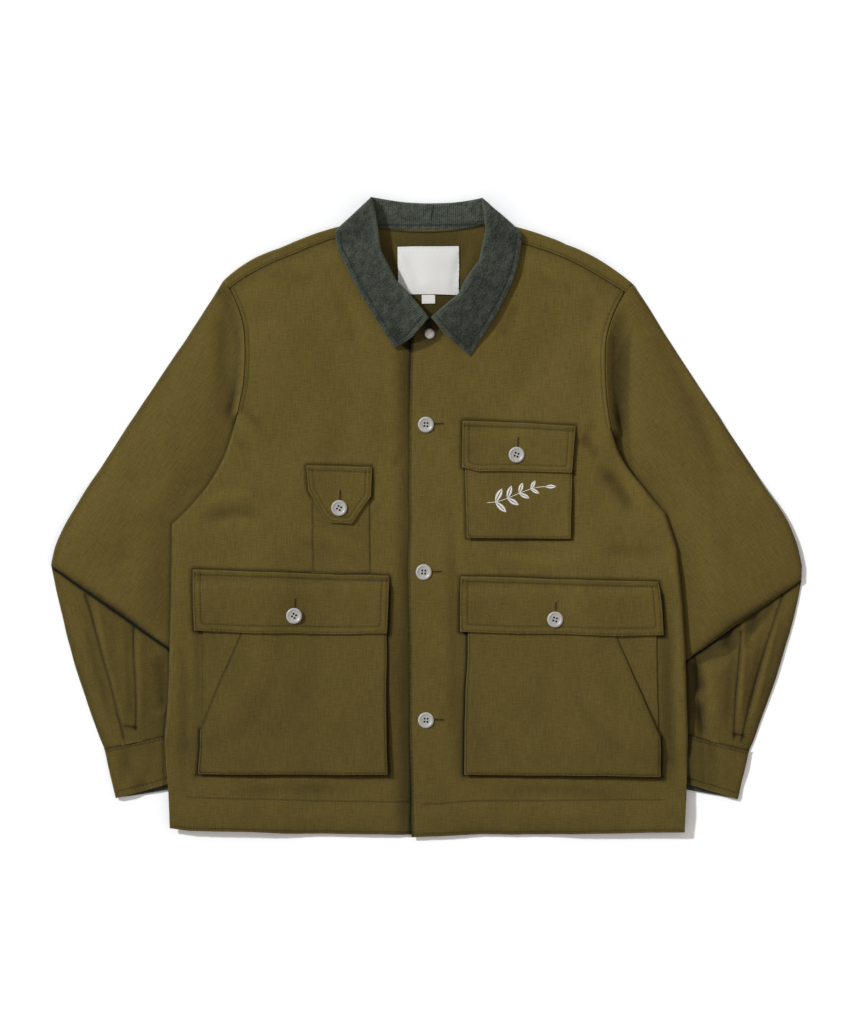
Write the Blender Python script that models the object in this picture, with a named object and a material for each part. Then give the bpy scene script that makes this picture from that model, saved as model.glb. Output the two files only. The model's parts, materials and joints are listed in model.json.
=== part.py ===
"""A cotton twill work jacket with a needlecord collar, laid flat with its front up.

Metres, +Z up. The jacket lies on the plane Z = 0, its collar towards +Y and its
wearer's left towards +X. The origin is the middle of its underside. The sizes
below are in millimetres, and a side's x runs outward from the centre line.
"""

import math
from functools import lru_cache
from typing import NamedTuple

import bmesh
import bpy
from mathutils import Vector
from mathutils.geometry import intersect_point_line

MM = 0.001
LEFT, RIGHT = 1, -1
SIDE_NAMES = {LEFT: "left", RIGHT: "right"}

# Cloth
LAYER = 1.2  # one layer of twill
DOUBLE = 1.8  # a piece of two layers, such as a collar leaf or a flap
TRIM = 0.8  # a woven label
SEAM = 0.3  # the gap between two pieces that are sewn or lie together
ARMHOLE_SEAM = 0.4
AIR = 1.4  # between the two layers of a flat body or sleeve
TUBE = 2 * LAYER + AIR
FRONT_LEVEL = LAYER + AIR  # the underside of a front, above the back's
FACING = 1.0
CUFF = 2 * LAYER + FACING + 2 * SEAM
PLEAT_DEPTH = 1.0
PLEAT_HALF = 9.0

# Drape: each layer follows what lies under it, over a grid of flat half squares
GRID = 50.0
FLAT_MARGIN = GRID * math.sqrt(2.0) + 1.0  # cloth stays lifted this far past what lifts it
RAMP = 60.0  # and comes down over this length
ARC_STEP = 28.0
LEVEL_ANGLE = 5e-4  # faces that bend less than this are one face
BEYOND = 30.0  # how far a cutter runs past the piece that it opens

# Collar
COLLAR_TOP_CORNER = 369.5
COLLAR_TOP_HALF = 62.6
COLLAR_TOP_DIP = 5.0
NECK_SEAM = 340.6
NECK_SEAM_HALF = 71.0
NECK_SEAM_DIP = 7.5
FALL_HALF = 102.5
FALL_CORNER = 329.5
FALL_SWELL = 40.0
WRAP = 0.72  # share of the leaf's folded edge that turns down behind the neck

# Fastenings
BUTTON_DIAMETER = 19.0
BUTTON_THICKNESS = 3.0
BUTTON_RIM = 2.0
BUTTON_DISH = 0.7
BUTTON_HOLE = 1.9
BUTTON_HOLE_SPREAD = 2.4  # from the button's middle to each hole's
SNAP_DIAMETER = 12.0
SNAP_THICKNESS = 2.2
SHARP_ANGLE = math.radians(35.0)
SNAP_DOME = ((0.5, 0.0), (0.85, 0.5), (1.0, 1.2), (0.9, 2.2))  # share of the radius, drop from the top
ROUND_SIDES = 16
HOLE_SIDES = 6

LAP_END = 25.0  # the wearer's left front lies on the other as far as this x
LAP_RAMP = 40.0
LAP_RISE = LAYER + SEAM
FLAP_RUN = 12.0  # how far down a flap takes to climb onto its pocket


class Corner(NamedTuple):
    """A corner of an outline, and how far the edge that follows it swells outward."""

    x: float
    y: float
    swell: float = 0.0


class Half(NamedTuple):
    """One half of the body, clockwise from the neck: each run starts where the last one ends."""

    neckline: tuple
    forward_seam: tuple
    shoulder: tuple
    armhole_sewn: tuple  # as far as where the sleeve goes under the body
    armhole_free: tuple
    side: tuple
    hem: tuple


BODY = {
    RIGHT: Half(
        neckline=(Corner(-20.0, 233.7), Corner(12.0, 233.7, -5.0), Corner(45.0, 262.7, -4.0)),
        forward_seam=(Corner(78.0, 331.0, 2.0), Corner(161.8, 302.9, 2.5), Corner(228.5, 265.4)),
        shoulder=(Corner(85.0, 340.0, 3.0), Corner(170.0, 312.6, 4.0), Corner(235.6, 274.0)),
        armhole_sewn=(Corner(228.5, 265.4, -4.5), Corner(210.8, 205.0, -3.4), Corner(218.9, 120.0)),
        armhole_free=(Corner(218.9, 120.0, -12.7), Corner(295.0, -8.4)),
        side=(Corner(295.0, -8.4, -3.0), Corner(302.8, -254.6), Corner(302.8, -320.7)),
        hem=(Corner(296.6, -359.8), Corner(275.0, -363.2), Corner(-20.0, -369.4)),
    ),
    LEFT: Half(
        neckline=(Corner(-17.3, 233.7), Corner(14.0, 233.7, -5.0), Corner(51.0, 262.7, -4.0)),
        forward_seam=(Corner(80.0, 325.0, 2.0), Corner(156.0, 301.7, 2.5), Corner(230.0, 261.4)),
        shoulder=(Corner(85.0, 340.0, 3.0), Corner(161.8, 315.6, 5.4), Corner(239.0, 270.2)),
        armhole_sewn=(Corner(230.0, 261.4, -7.5), Corner(207.0, 172.0, -1.5), Corner(213.8, 101.5)),
        armhole_free=(
            Corner(213.8, 101.5, -4.0), Corner(244.2, 43.5), Corner(276.7, 5.6), Corner(289.9, -36.0),
        ),
        side=(Corner(289.9, -36.0, 2.0), Corner(302.2, -248.8), Corner(302.9, -335.8)),
        hem=(Corner(298.9, -364.8), Corner(60.9, -367.8), Corner(-16.5, -371.5, 4.0)),
    ),
}

# Sleeves, the same on both sides. The elbow's tuck turns the forearm under the upper sleeve.
ELBOW = Corner(434.8, -56.0)
UPPER_OUTER = (Corner(410.0, 8.7, 3.9), ELBOW)
UPPER_INNER = (Corner(277.0, -170.0), Corner(240.0, 0.0))
TUCK_CORNER = Corner(303.0, -150.0)  # where the upper sleeve's fold goes under the body's side
LOWER_OUTER = (Corner(434.8, -56.4, 4.0), Corner(373.4, -269.5))
LOWER_INNER = (Corner(256.6, -242.0), Corner(253.0, -91.0))
CUFF_OUTER = (Corner(373.3, -270.0), Corner(359.8, -325.9))
CUFF_INNER = (Corner(243.0, -306.0), Corner(256.5, -242.5))
CUFF_TOP_LAYER_INNER_END = Corner(246.0, -293.0)
FACING_HEIGHT = 34.0
PLEATS = (  # foot at the cuff, head under the elbow's fold
    (Corner(353.0, -258.0), Corner(402.0, -94.0)),
    (Corner(336.5, -250.0), Corner(343.0, -127.0)),
)

# Collar leaves, from the top of the roll line round by the point
LEAVES = {
    RIGHT: (
        Corner(64.6, 371.6), Corner(104.5, 332.3, 3.0), Corner(95.7, 296.8, 1.5), Corner(67.5, 242.1),
        Corner(36.5, 195.5), Corner(17.3, 208.2), Corner(-2.8, 231.0, 1.0), Corner(35.0, 273.2),
        Corner(52.8, 308.7, 1.5),
    ),
    LEFT: (
        Corner(64.6, 371.6), Corner(110.0, 329.3, 2.0), Corner(101.2, 279.0, 1.5), Corner(70.1, 216.9),
        Corner(50.8, 186.5), Corner(18.2, 215.4), Corner(5.0, 231.0), Corner(37.5, 259.8, 2.0),
        Corner(59.7, 295.3), Corner(67.9, 332.3),
    ),
}
LEAF_SURROUND = (Corner(200.0, 340.0), Corner(200.0, 100.0), Corner(-60.0, 100.0), Corner(-60.0, 300.0))


class Cargo(NamedTuple):
    """A cargo pocket: its flap, and the patch's four corners and slanted hand opening."""

    flap: tuple
    patch_top: float
    outer_foot: Corner
    inner_foot: Corner
    inner_top: Corner
    slant_foot: Corner
    slant_head: Corner
    outer_head: Corner


CARGO_BELLOWS = 5.0
CARGO = {
    RIGHT: Cargo(
        flap=(Corner(43.0, -67.4), Corner(270.3, -60.6), Corner(267.7, -130.5, 2.0), Corner(45.6, -133.9)),
        patch_top=-85.0,
        outer_foot=Corner(263.9, -297.0), inner_foot=Corner(45.0, -297.0), inner_top=Corner(46.6, -85.0),
        slant_foot=Corner(261.5, -244.0), slant_head=Corner(196.0, -85.0), outer_head=Corner(259.0, -85.0),
    ),
    LEFT: Cargo(
        flap=(Corner(40.4, -68.6), Corner(268.5, -74.2), Corner(274.0, -135.7, 1.5), Corner(38.5, -131.7)),
        patch_top=-91.0,
        outer_foot=Corner(270.9, -299.5), inner_foot=Corner(43.8, -298.0), inner_top=Corner(48.5, -91.0),
        slant_foot=Corner(270.2, -253.0), slant_head=Corner(200.5, -91.0), outer_head=Corner(267.4, -91.0),
    ),
}
FLAP_SLOPE_START = {RIGHT: -70.0, LEFT: -76.0}

CHEST_BELLOWS = 3.4
CHEST_FLAP = (
    Corner(42.3, 111.9), Corner(172.3, 106.7), Corner(168.1, 51.3), Corner(60.1, 54.2), Corner(41.5, 59.4),
)
CHEST_SEWN = (Corner(169.0, 91.0), Corner(167.3, -24.9), Corner(47.4, -24.0), Corner(44.0, 91.0))
CHEST_SLOPE_START = 105.0
PEN_FLAP = (
    Corner(62.6, 58.6), Corner(139.7, 60.1), Corner(136.6, 31.2), Corner(118.9, 1.7), Corner(110.8, -5.7),
    Corner(85.6, -7.2), Corner(75.3, 9.0), Corner(63.7, 25.3),
)
PEN_PATCH = (Corner(65.2, 44.0), Corner(133.4, 44.0), Corner(133.4, -59.0), Corner(65.2, -59.0))
PEN_SLOPE_START = 57.0

LABEL = (Corner(-33.5, 313.8), Corner(37.5, 313.8), Corner(37.5, 258.0), Corner(-33.5, 258.0))
SIZE_TAB = (Corner(-5.5, 257.4), Corner(10.1, 257.4), Corner(10.1, 247.2), Corner(-5.5, 247.2))

ON_CARGO = CARGO_BELLOWS + DOUBLE + 2 * SEAM
ON_CHEST = CHEST_BELLOWS + DOUBLE + 2 * SEAM
ON_PEN = LAYER + DOUBLE + 2 * SEAM
BUTTONS = {  # x as in the world, y, and how far the flap's top is raised over the front
    "button_placket_1": (-0.7, 108.6, 0.0),
    "button_placket_2": (-2.2, -62.4, 0.0),
    "button_placket_3": (-0.5, -235.0, 0.0),
    "button_cargo_right": (-153.4, -113.2, ON_CARGO),
    "button_cargo_left": (148.6, -117.9, ON_CARGO),
    "button_chest": (104.2, 72.0, ON_CHEST),
    "button_pen": (-100.8, 11.3, ON_PEN),
}
SNAP = (3.5, 213.2)

FABRICS = {  # colour, roughness, metallic
    "twill": ((0.115, 0.084, 0.028), 0.9, 0.0),
    "needlecord": ((0.050, 0.056, 0.044), 0.95, 0.0),
    "label": ((0.80, 0.79, 0.76), 0.8, 0.0),
    "button": ((0.42, 0.40, 0.38), 0.45, 0.0),
    "snap": ((0.50, 0.47, 0.44), 0.35, 1.0),
}


def bowed(start, end):
    """The points after start on the edge to end, which swells to the left of its direction."""
    chord = Vector((end.x - start.x, end.y - start.y))
    outward = Vector((-chord.y, chord.x)).normalized()
    steps = max(3, round(chord.length / ARC_STEP)) if start.swell else 1
    for step in range(1, steps):
        share = step / steps
        swell = 4.0 * start.swell * share * (1.0 - share)
        yield Vector((start.x, start.y)) + share * chord + swell * outward


def run(corners):
    """The points of an open run of corners, with its swelling edges drawn as arcs."""
    points = []
    for start, end in zip(corners, corners[1:]):
        points += [Vector((start.x, start.y)), *bowed(start, end)]
    return points + [Vector((corners[-1].x, corners[-1].y))]


def ring(corners):
    """The points of a closed outline."""
    return run([*corners, corners[0]])[:-1]


def shifted(points, x=0.0, y=0.0):
    """The points, each moved by the same x and y."""
    return [point + Vector((x, y)) for point in points]


def inset(points, distance, reach):
    """An open run moved to its right by a distance, with both its ends drawn out by reach."""
    ways = [(after - before).normalized() for before, after in zip(points, points[1:])]
    moved = []
    for point, before, after in zip(points, [ways[0], *ways], [*ways, ways[-1]]):
        across = Vector((before.y + after.y, -before.x - after.x))
        moved.append(point + across * (2.0 * distance / across.length_squared))
    moved[0] -= ways[0] * reach
    moved[-1] += ways[-1] * reach
    return moved


def distance_outside(outline, x, y):
    """How far a point lies outside an outline, or 0 within it."""
    point = Vector((x, y))
    inside = False
    nearest = math.inf
    for start, end in zip(outline, outline[1:] + outline[:1]):
        foot, share = intersect_point_line(point, start, end)
        foot = start if share < 0.0 else end if share > 1.0 else foot.xy
        nearest = min(nearest, (point - foot).length)
        if (start.y > y) != (end.y > y):
            inside ^= x < start.x + (y - start.y) * (end.x - start.x) / (end.y - start.y)
    return 0.0 if inside else nearest


def upper_sleeve_outline(side):
    """The upper sleeve, clockwise from the top of its armhole seam."""
    half = BODY[side]
    armhole = shifted(run([half.shoulder[-1], *half.armhole_sewn]), x=ARMHOLE_SEAM)
    outer = run([half.shoulder[-1], *UPPER_OUTER])
    return [*shifted(outer[:1], x=ARMHOLE_SEAM), *outer[1:], *run(UPPER_INNER), *reversed(armhole[1:])]


def tucked_sleeve_outline(side):
    """The part of the upper sleeve that lies under the body."""
    return [*run([*BODY[side].armhole_free, TUCK_CORNER]), *run(UPPER_INNER)]


def lower_sleeve_outline():
    """The forearm, clockwise from the elbow."""
    return [*run(LOWER_OUTER), *run(LOWER_INNER)]


def cuff_outline():
    """The cuff, clockwise from its outer top corner."""
    return [*run(CUFF_OUTER), *run(CUFF_INNER)]


def lift(outline, x, y):
    """1 over an outline and its margin, and 0 well away from it."""
    share = min(max((distance_outside(outline, x, y) - FLAT_MARGIN) / RAMP, 0.0), 1.0)
    return 1.0 - share * share * (3.0 - 2.0 * share)


@lru_cache(maxsize=None)
def sleeve_rise(column, row):
    """How far a grid point of an upper sleeve is lifted by the forearm under it."""
    return (TUBE + SEAM) * lift(lower_sleeve_outline(), abs(column * GRID), row * GRID)


@lru_cache(maxsize=None)
def body_rise(column, row):
    """How far a grid point of the body is lifted by the sleeves, cuffs and collar under it."""
    x, y = column * GRID, row * GRID
    side = LEFT if x > 0.0 else RIGHT
    outward = abs(x)
    over_upper = lift(tucked_sleeve_outline(side), outward, y)
    return max(
        over_upper * (TUBE + SEAM + sleeve_rise(column, row)),
        (TUBE + SEAM) * lift(lower_sleeve_outline(), outward, y),
        (CUFF + SEAM) * lift(cuff_outline(), outward, y),
        (DOUBLE + SEAM) * lift(fall_outline(), x, y),
    )


def flat(column, row):
    """The drape of what lies on the floor."""
    return 0.0


def drape(rise, x, y):
    """A drape's height at a point, linear over each half square of the grid."""
    column, row = math.floor(x / GRID), math.floor(y / GRID)
    u, v = x / GRID - column, y / GRID - row
    across, up = rise(column + 1, row), rise(column, row + 1)
    if u + v <= 1.0:
        near = rise(column, row)
        return near + u * (across - near) + v * (up - near)
    far = rise(column + 1, row + 1)
    return far + (1.0 - u) * (up - far) + (1.0 - v) * (across - far)


class Slope(NamedTuple):
    """A straight climb: from 0 at the start to its height at the end, level beyond both."""

    axis: int
    start: float
    end: float
    height: float

    def at(self, x, y):
        """The climb's height at a point."""
        share = ((x, y)[self.axis] - self.start) / (self.end - self.start)
        return self.height * min(max(share, 0.0), 1.0)


LAP = Slope(axis=0, start=LAP_END + LAP_RAMP, end=LAP_END, height=LAP_RISE)
MIRRORED_LAP = Slope(axis=0, start=-LAP_END - LAP_RAMP, end=-LAP_END, height=LAP_RISE)


class Sheet:
    """The surface that a layer lies on: a drape and the slopes on it."""

    def __init__(self, rise=flat, slopes=(), pleats=()):
        self.rise = rise
        self.slopes = tuple(slopes)
        self.pleats = tuple(pleats)

    def with_slope(self, slope):
        """The same surface with one more slope on it."""
        return Sheet(self.rise, [*self.slopes, slope], self.pleats)

    def height(self, x, y):
        """The surface's height at a point."""
        height = drape(self.rise, x, y) + sum(slope.at(x, y) for slope in self.slopes)
        for foot, head in self.pleats:
            height -= PLEAT_DEPTH * max(0.0, 1.0 - abs(pleat_offset(foot, head, x, y)) / PLEAT_HALF)
        return height

    def creases(self):
        """The lines (point, direction across) where the surface may bend."""
        for slope in self.slopes:
            for bend in (slope.start, slope.end):
                across = Vector((1.0, 0.0)) if slope.axis == 0 else Vector((0.0, 1.0))
                yield across * bend, across
        for foot, head in self.pleats:
            across = Vector((head.y - foot.y, foot.x - head.x)).normalized()
            for bend in (-PLEAT_HALF, 0.0, PLEAT_HALF):
                yield Vector((foot.x, foot.y)) + across * bend, across


def pleat_offset(foot, head, x, y):
    """How far a point lies to the side of a pleat."""
    along = Vector((head.x - foot.x, head.y - foot.y)).normalized()
    return (x - foot.x) * along.y - (y - foot.y) * along.x


def mirrored_pleats(side):
    """The pleats with x as in the world."""
    return [tuple(Corner(side * end.x, end.y) for end in pleat) for pleat in PLEATS]


def material(name):
    """The fabric's material, made once."""
    made = bpy.data.materials.get(name)
    if made:
        return made
    made = bpy.data.materials.new(name)
    made.use_nodes = True
    shader = made.node_tree.nodes["Principled BSDF"]
    colour, roughness, metallic = FABRICS[name]
    shader.inputs["Base Color"].default_value = (*colour, 1.0)
    shader.inputs["Roughness"].default_value = roughness
    shader.inputs["Metallic"].default_value = metallic
    made.diffuse_color = (*colour, 1.0)
    return made


def place(name, shape, fabric, smooth=False):
    """Turns a shape in millimetres into an object of the jacket."""
    bmesh.ops.scale(shape, vec=(MM, MM, MM), verts=shape.verts)
    bmesh.ops.recalc_face_normals(shape, faces=shape.faces)
    data = bpy.data.meshes.new(name)
    shape.to_mesh(data)
    shape.free()
    if smooth:
        data.shade_smooth()
        data.set_sharp_from_angle(angle=SHARP_ANGLE)
    piece = bpy.data.objects.new(name, data)
    bpy.context.scene.collection.objects.link(piece)
    data.materials.append(material(fabric))
    return piece


def slab(name, outline, side, sheet, low, high, fabric="twill", floor=None):
    """A piece of cloth between two heights over a sheet, cut along the sheet's folds.

    Args:
        outline: its points, clockwise, with x outward on the side given.
        low: the height of its underside over the sheet.
        high: the height of its top over the sheet.
        floor: a level underside for all of it instead of low.
    """
    shape = bmesh.new()
    shape.faces.new([shape.verts.new((side * point.x, point.y, 0.0)) for point in outline])
    lines = list(sheet.creases())
    reach = max(max(abs(vert.co.x), abs(vert.co.y)) for vert in shape.verts)
    if sheet.rise is not flat:
        for across in (Vector((1.0, 0.0)), Vector((0.0, 1.0)), Vector((1.0, 1.0))):
            count = math.ceil(reach * across.dot(across) / GRID)
            step = across * (GRID / across.dot(across))
            lines += [(step * index, across) for index in range(-count, count + 1)]
    for point, across in lines:
        bmesh.ops.bisect_plane(
            shape, geom=[*shape.verts, *shape.edges, *shape.faces], dist=1e-3,
            plane_co=point.to_3d(), plane_no=across.to_3d(),
        )
    under = list(shape.verts)
    raised = bmesh.ops.extrude_face_region(shape, geom=shape.faces[:])["geom"]
    for vert in under:
        vert.co.z = low + sheet.height(vert.co.x, vert.co.y) if floor is None else floor
    for vert in raised:
        if isinstance(vert, bmesh.types.BMVert):
            vert.co.z = high + sheet.height(vert.co.x, vert.co.y)
    shape.normal_update()
    bmesh.ops.dissolve_limit(
        shape, angle_limit=LEVEL_ANGLE, verts=shape.verts, edges=shape.edges, use_dissolve_boundaries=False,
    )
    bmesh.ops.triangulate(shape, faces=shape.faces)
    return place(name, shape, fabric)


def cut(piece, *cutters):
    """Takes each cutter out of a piece, one after the other."""
    for cutter in cutters:
        cutter.hide_render = True
        cutter.display_type = "WIRE"
        opening = piece.modifiers.new(cutter.name, "BOOLEAN")
        opening.operation = "DIFFERENCE"
        opening.object = cutter
    return piece


def fall_outline():
    """The part of the collar that lies behind the neck, clockwise from its top left."""
    return ring([
        Corner(-COLLAR_TOP_HALF, COLLAR_TOP_CORNER, -COLLAR_TOP_DIP),
        Corner(COLLAR_TOP_HALF, COLLAR_TOP_CORNER),
        Corner(FALL_HALF, FALL_CORNER, FALL_SWELL),
        Corner(-FALL_HALF, FALL_CORNER),
    ])


def neck_seam(drop):
    """The back neck seam, from the wearer's right to the left."""
    return run([
        Corner(-NECK_SEAM_HALF, NECK_SEAM - drop, -NECK_SEAM_DIP), Corner(NECK_SEAM_HALF, NECK_SEAM - drop),
    ])


def make_back():
    """The back. Along each shoulder it turns up, and goes on as the wrap that shows in front."""
    ground = Sheet(body_rise)
    halves = {}
    for side, half in BODY.items():
        fold = inset(run(half.shoulder), LAYER + SEAM, 0.0)
        edge = [*fold, *run(half.armhole_sewn)[:-1], *run(half.armhole_free)[:-1]]
        edge += run([*half.side, *half.hem[:2]])
        halves[side] = [Vector((side * point.x, point.y)) for point in edge]
    slab("back", [*neck_seam(SEAM), *halves[LEFT], *reversed(halves[RIGHT])], 1, ground, 0.0, LAYER)
    for side, half in BODY.items():
        name = f"back_wrap_{SIDE_NAMES[side]}"
        fold, seam = run(half.shoulder), shifted(run(half.forward_seam), y=SEAM)
        wrap = slab(name, [*fold, *reversed(seam)], side, ground, 0.0, FRONT_LEVEL + LAYER)
        inside = inset(fold, LAYER, BEYOND / 2)
        below = [point + Vector((0.0, -BEYOND)) for point in reversed(inside)]
        cut(wrap, slab(f"{name}_cutter", [*inside, *below], side, ground, -LAYER, FRONT_LEVEL))


def make_fronts():
    """The two fronts. The wearer's left one laps over the other."""
    for side, half in BODY.items():
        outline = [*run([*half.neckline, half.forward_seam[0]])[:-1], *run(half.forward_seam)[:-1]]
        outline += [*run(half.armhole_sewn)[:-1], *run(half.armhole_free)[:-1]]
        outline += run([*half.side, *half.hem, half.neckline[0]])[:-1]
        sheet = Sheet(body_rise, [LAP] if side == LEFT else [])
        slab(f"front_{SIDE_NAMES[side]}", outline, side, sheet, FRONT_LEVEL, FRONT_LEVEL + LAYER)


def make_sleeves(side):
    """An upper sleeve on top of its forearm: both are flat tubes, open at each end."""
    name = SIDE_NAMES[side]
    half = BODY[side]
    sheet = Sheet(sleeve_rise)
    upper = slab(f"sleeve_upper_{name}", upper_sleeve_outline(side), side, sheet, 0.0, TUBE)
    outer = inset(run([half.shoulder[-1], *UPPER_OUTER]), LAYER, BEYOND)
    inner = inset(run([*UPPER_INNER, half.armhole_sewn[-1]]), LAYER, BEYOND)
    mouth = Vector((half.armhole_sewn[1].x - BEYOND, half.armhole_sewn[1].y))
    hollow = slab(f"sleeve_upper_{name}_cutter", [*outer, *inner, mouth], side, sheet, LAYER, TUBE - LAYER)
    cut(upper, hollow)

    pleated = Sheet(pleats=mirrored_pleats(side))
    lower = slab(f"sleeve_lower_{name}", lower_sleeve_outline(), side, pleated, 0.0, TUBE, floor=0.0)
    hollow_outline = [*inset(run(LOWER_OUTER), LAYER, BEYOND), *inset(run(LOWER_INNER), LAYER, BEYOND)]
    hollow = slab(
        f"sleeve_lower_{name}_cutter", hollow_outline, side, pleated, 0.0, TUBE - LAYER, floor=LAYER,
    )
    cut(lower, hollow)


def make_cuff(side):
    """A cuff, with the needlecord facing that shows in its mouth."""
    name = SIDE_NAMES[side]
    floor = Sheet()
    cuff = slab(f"cuff_{name}", cuff_outline(), side, floor, 0.0, CUFF)
    outer, inner = inset(run(CUFF_OUTER), LAYER, BEYOND), inset(run(CUFF_INNER), LAYER, BEYOND)
    hollow = slab(f"cuff_{name}_cutter", [*outer, *inner], side, floor, LAYER, CUFF - LAYER)
    mouth_start, mouth_end = run([CUFF_OUTER[-1], CUFF_TOP_LAYER_INNER_END])
    along = (mouth_end - mouth_start).normalized() * BEYOND
    down = Vector((0.0, -3.0 * BEYOND))
    mouth = [mouth_start - along, mouth_start - along + down, mouth_end + along + down, mouth_end + along]
    trim = slab(f"cuff_{name}_mouth_cutter", mouth, side, floor, CUFF / 2, 2 * CUFF)
    cut(cuff, hollow, trim)

    sides = inset(run(CUFF_OUTER), LAYER + SEAM, 0.0), inset(run(CUFF_INNER), LAYER + SEAM, 0.0)
    (outer_top, outer_foot), (inner_foot, inner_top) = sides
    outer_head = outer_foot + (outer_top - outer_foot).normalized() * FACING_HEIGHT
    inner_head = inner_foot + (inner_top - inner_foot).normalized() * FACING_HEIGHT
    facing = [outer_head, outer_foot, inner_foot, inner_head]
    slab(f"cuff_facing_{name}", facing, side, floor, LAYER + SEAM, LAYER + SEAM + FACING, "needlecord")


def make_collar():
    """The stand and the fall behind it, folded at the roll line, and the two leaves on the fronts."""
    floor = Sheet()
    stand_low, stand_high = DOUBLE + SEAM, 2 * DOUBLE + SEAM
    collar = slab("collar_back", fall_outline(), 1, floor, 0.0, stand_high, "needlecord")
    roll = COLLAR_TOP_CORNER - COLLAR_TOP_DIP - DOUBLE
    wide = FALL_HALF + BEYOND
    inside = ring([Corner(-wide, roll), Corner(wide, roll), Corner(wide, 0.0), Corner(-wide, 0.0)])
    below = [*neck_seam(-SEAM), *ring([
        Corner(wide, NECK_SEAM), Corner(wide, 0.0), Corner(-wide, 0.0), Corner(-wide, NECK_SEAM),
    ])]
    cut(
        collar,
        slab("collar_back_fold_cutter", inside, 1, floor, DOUBLE, stand_low),
        slab("collar_back_seam_cutter", below, 1, floor, DOUBLE + SEAM / 2, 2 * stand_high),
    )
    for side, corners in LEAVES.items():
        make_leaf(side, corners)


def make_leaf(side, corners):
    """A leaf on its front. Part of its first edge turns down behind the neck, and meets the fall."""
    name = f"collar_leaf_{SIDE_NAMES[side]}"
    sheet = Sheet(body_rise, [LAP if side == LEFT else MIRRORED_LAP])
    level = FRONT_LEVEL + LAYER + SEAM
    leaf = slab(name, ring(corners), side, sheet, level, level + DOUBLE, "needlecord", floor=0.0)
    top, corner = run(corners[:2])
    start, end = inset([top, top.lerp(corner, WRAP)], DOUBLE, 0.0)
    along = (end - start).normalized()
    outward = Vector((-along.y, along.x))
    near_fold = [start - along * BEYOND, end, end + outward * BEYOND]
    under = [*near_fold, *run(LEAF_SURROUND)]
    cut(leaf, slab(f"{name}_cutter", under, side, sheet, -BEYOND, level, floor=-BEYOND))


def make_labels():
    """The neck label and the small tab under it, on the inside of the back."""
    level = LAYER + SEAM
    slab("neck_label", ring(LABEL), 1, Sheet(body_rise), level, level + TRIM, "label")
    slab("size_tab", ring(SIZE_TAB), 1, Sheet(body_rise), level, level + TRIM, "label")


def tray(name, sewn, side, sheet, height, slant_head=None):
    """A bellows patch: its face stands off the front on walls along its sewn edges.

    Args:
        sewn: the run of sewn edges, clockwise from the outer side.
        slant_head: the head of a slanted hand opening, whose foot is where the run starts.
    """
    level = FRONT_LEVEL + LAYER + SEAM
    edges = run(sewn)
    outline = [*edges, slant_head] if slant_head else edges
    patch = slab(name, outline, side, sheet, level, level + height)
    inside = inset(edges, LAYER, 3 * BEYOND)
    if slant_head:
        inside[0] = inset(edges, LAYER, 0.0)[0]
        clear = edges[0].x + 2 * BEYOND
        inside += [Vector((clear, inside[-1].y)), Vector((clear, inside[0].y))]
    return cut(patch, slab(f"{name}_cutter", inside, side, sheet, level - BEYOND, level + height - LAYER))


def make_cargo_pocket(side):
    """An under layer, a bellows patch with a slanted hand opening, and a buttoned flap."""
    name = SIDE_NAMES[side]
    pocket = CARGO[side]
    sheet = Sheet(body_rise, [LAP] if side == LEFT else [])
    level = FRONT_LEVEL + LAYER + SEAM
    sewn = (pocket.slant_foot, pocket.outer_foot, pocket.inner_foot, pocket.inner_top)
    tray(f"cargo_pocket_{name}", sewn, side, sheet, CARGO_BELLOWS, pocket.slant_head)

    under = inset(run(sewn), LAYER + SEAM, 0.0)
    outer_edge = shifted(run([pocket.outer_head, pocket.slant_foot]), y=SEAM)
    bag = [*outer_edge, *shifted(under[:1], y=SEAM), *under[1:]]
    slab(f"cargo_bag_{name}", bag, side, sheet, level, level + FACING)

    start = FLAP_SLOPE_START[side]
    climb = Slope(axis=1, start=start, end=start - FLAP_RUN, height=CARGO_BELLOWS + SEAM)
    slab(f"cargo_flap_{name}", ring(pocket.flap), side, sheet.with_slope(climb), level, level + DOUBLE)


def make_chest_pocket():
    """A small bellows patch with its buttoned flap."""
    sheet = Sheet(body_rise, [LAP])
    level = FRONT_LEVEL + LAYER + SEAM
    tray("chest_pocket", CHEST_SEWN, LEFT, sheet, CHEST_BELLOWS)
    climb = Slope(
        axis=1, start=CHEST_SLOPE_START, end=CHEST_SLOPE_START - FLAP_RUN, height=CHEST_BELLOWS + SEAM,
    )
    slab("chest_flap", ring(CHEST_FLAP), LEFT, sheet.with_slope(climb), level, level + DOUBLE)


def make_pen_pocket():
    """A narrow flat patch with a wide, cut-away flap."""
    sheet = Sheet(body_rise)
    level = FRONT_LEVEL + LAYER + SEAM
    slab("pen_pocket", ring(PEN_PATCH), RIGHT, sheet, level, level + LAYER)
    climb = Slope(axis=1, start=PEN_SLOPE_START, end=PEN_SLOPE_START - FLAP_RUN, height=LAYER + SEAM)
    slab("pen_flap", ring(PEN_FLAP), RIGHT, sheet.with_slope(climb), level, level + DOUBLE)


def rim(x, y, radius, sides):
    """Points evenly around a circle."""
    turns = [2.0 * math.pi * index / sides for index in range(sides)]
    return [(x + radius * math.cos(turn), y + radius * math.sin(turn)) for turn in turns]


def turned(profile, sides):
    """A solid turned about Z from a profile of (radius, height), top to bottom."""
    shape = bmesh.new()
    rings = [
        [shape.verts.new((*point, height)) for point in rim(0.0, 0.0, radius, sides)]
        for radius, height in profile
    ]
    for upper, lower in zip(rings, rings[1:]):
        for index in range(sides):
            following = (index + 1) % sides
            shape.faces.new((upper[index], upper[following], lower[following], lower[index]))
    shape.faces.new(rings[0])
    shape.faces.new(rings[-1])
    return shape


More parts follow.
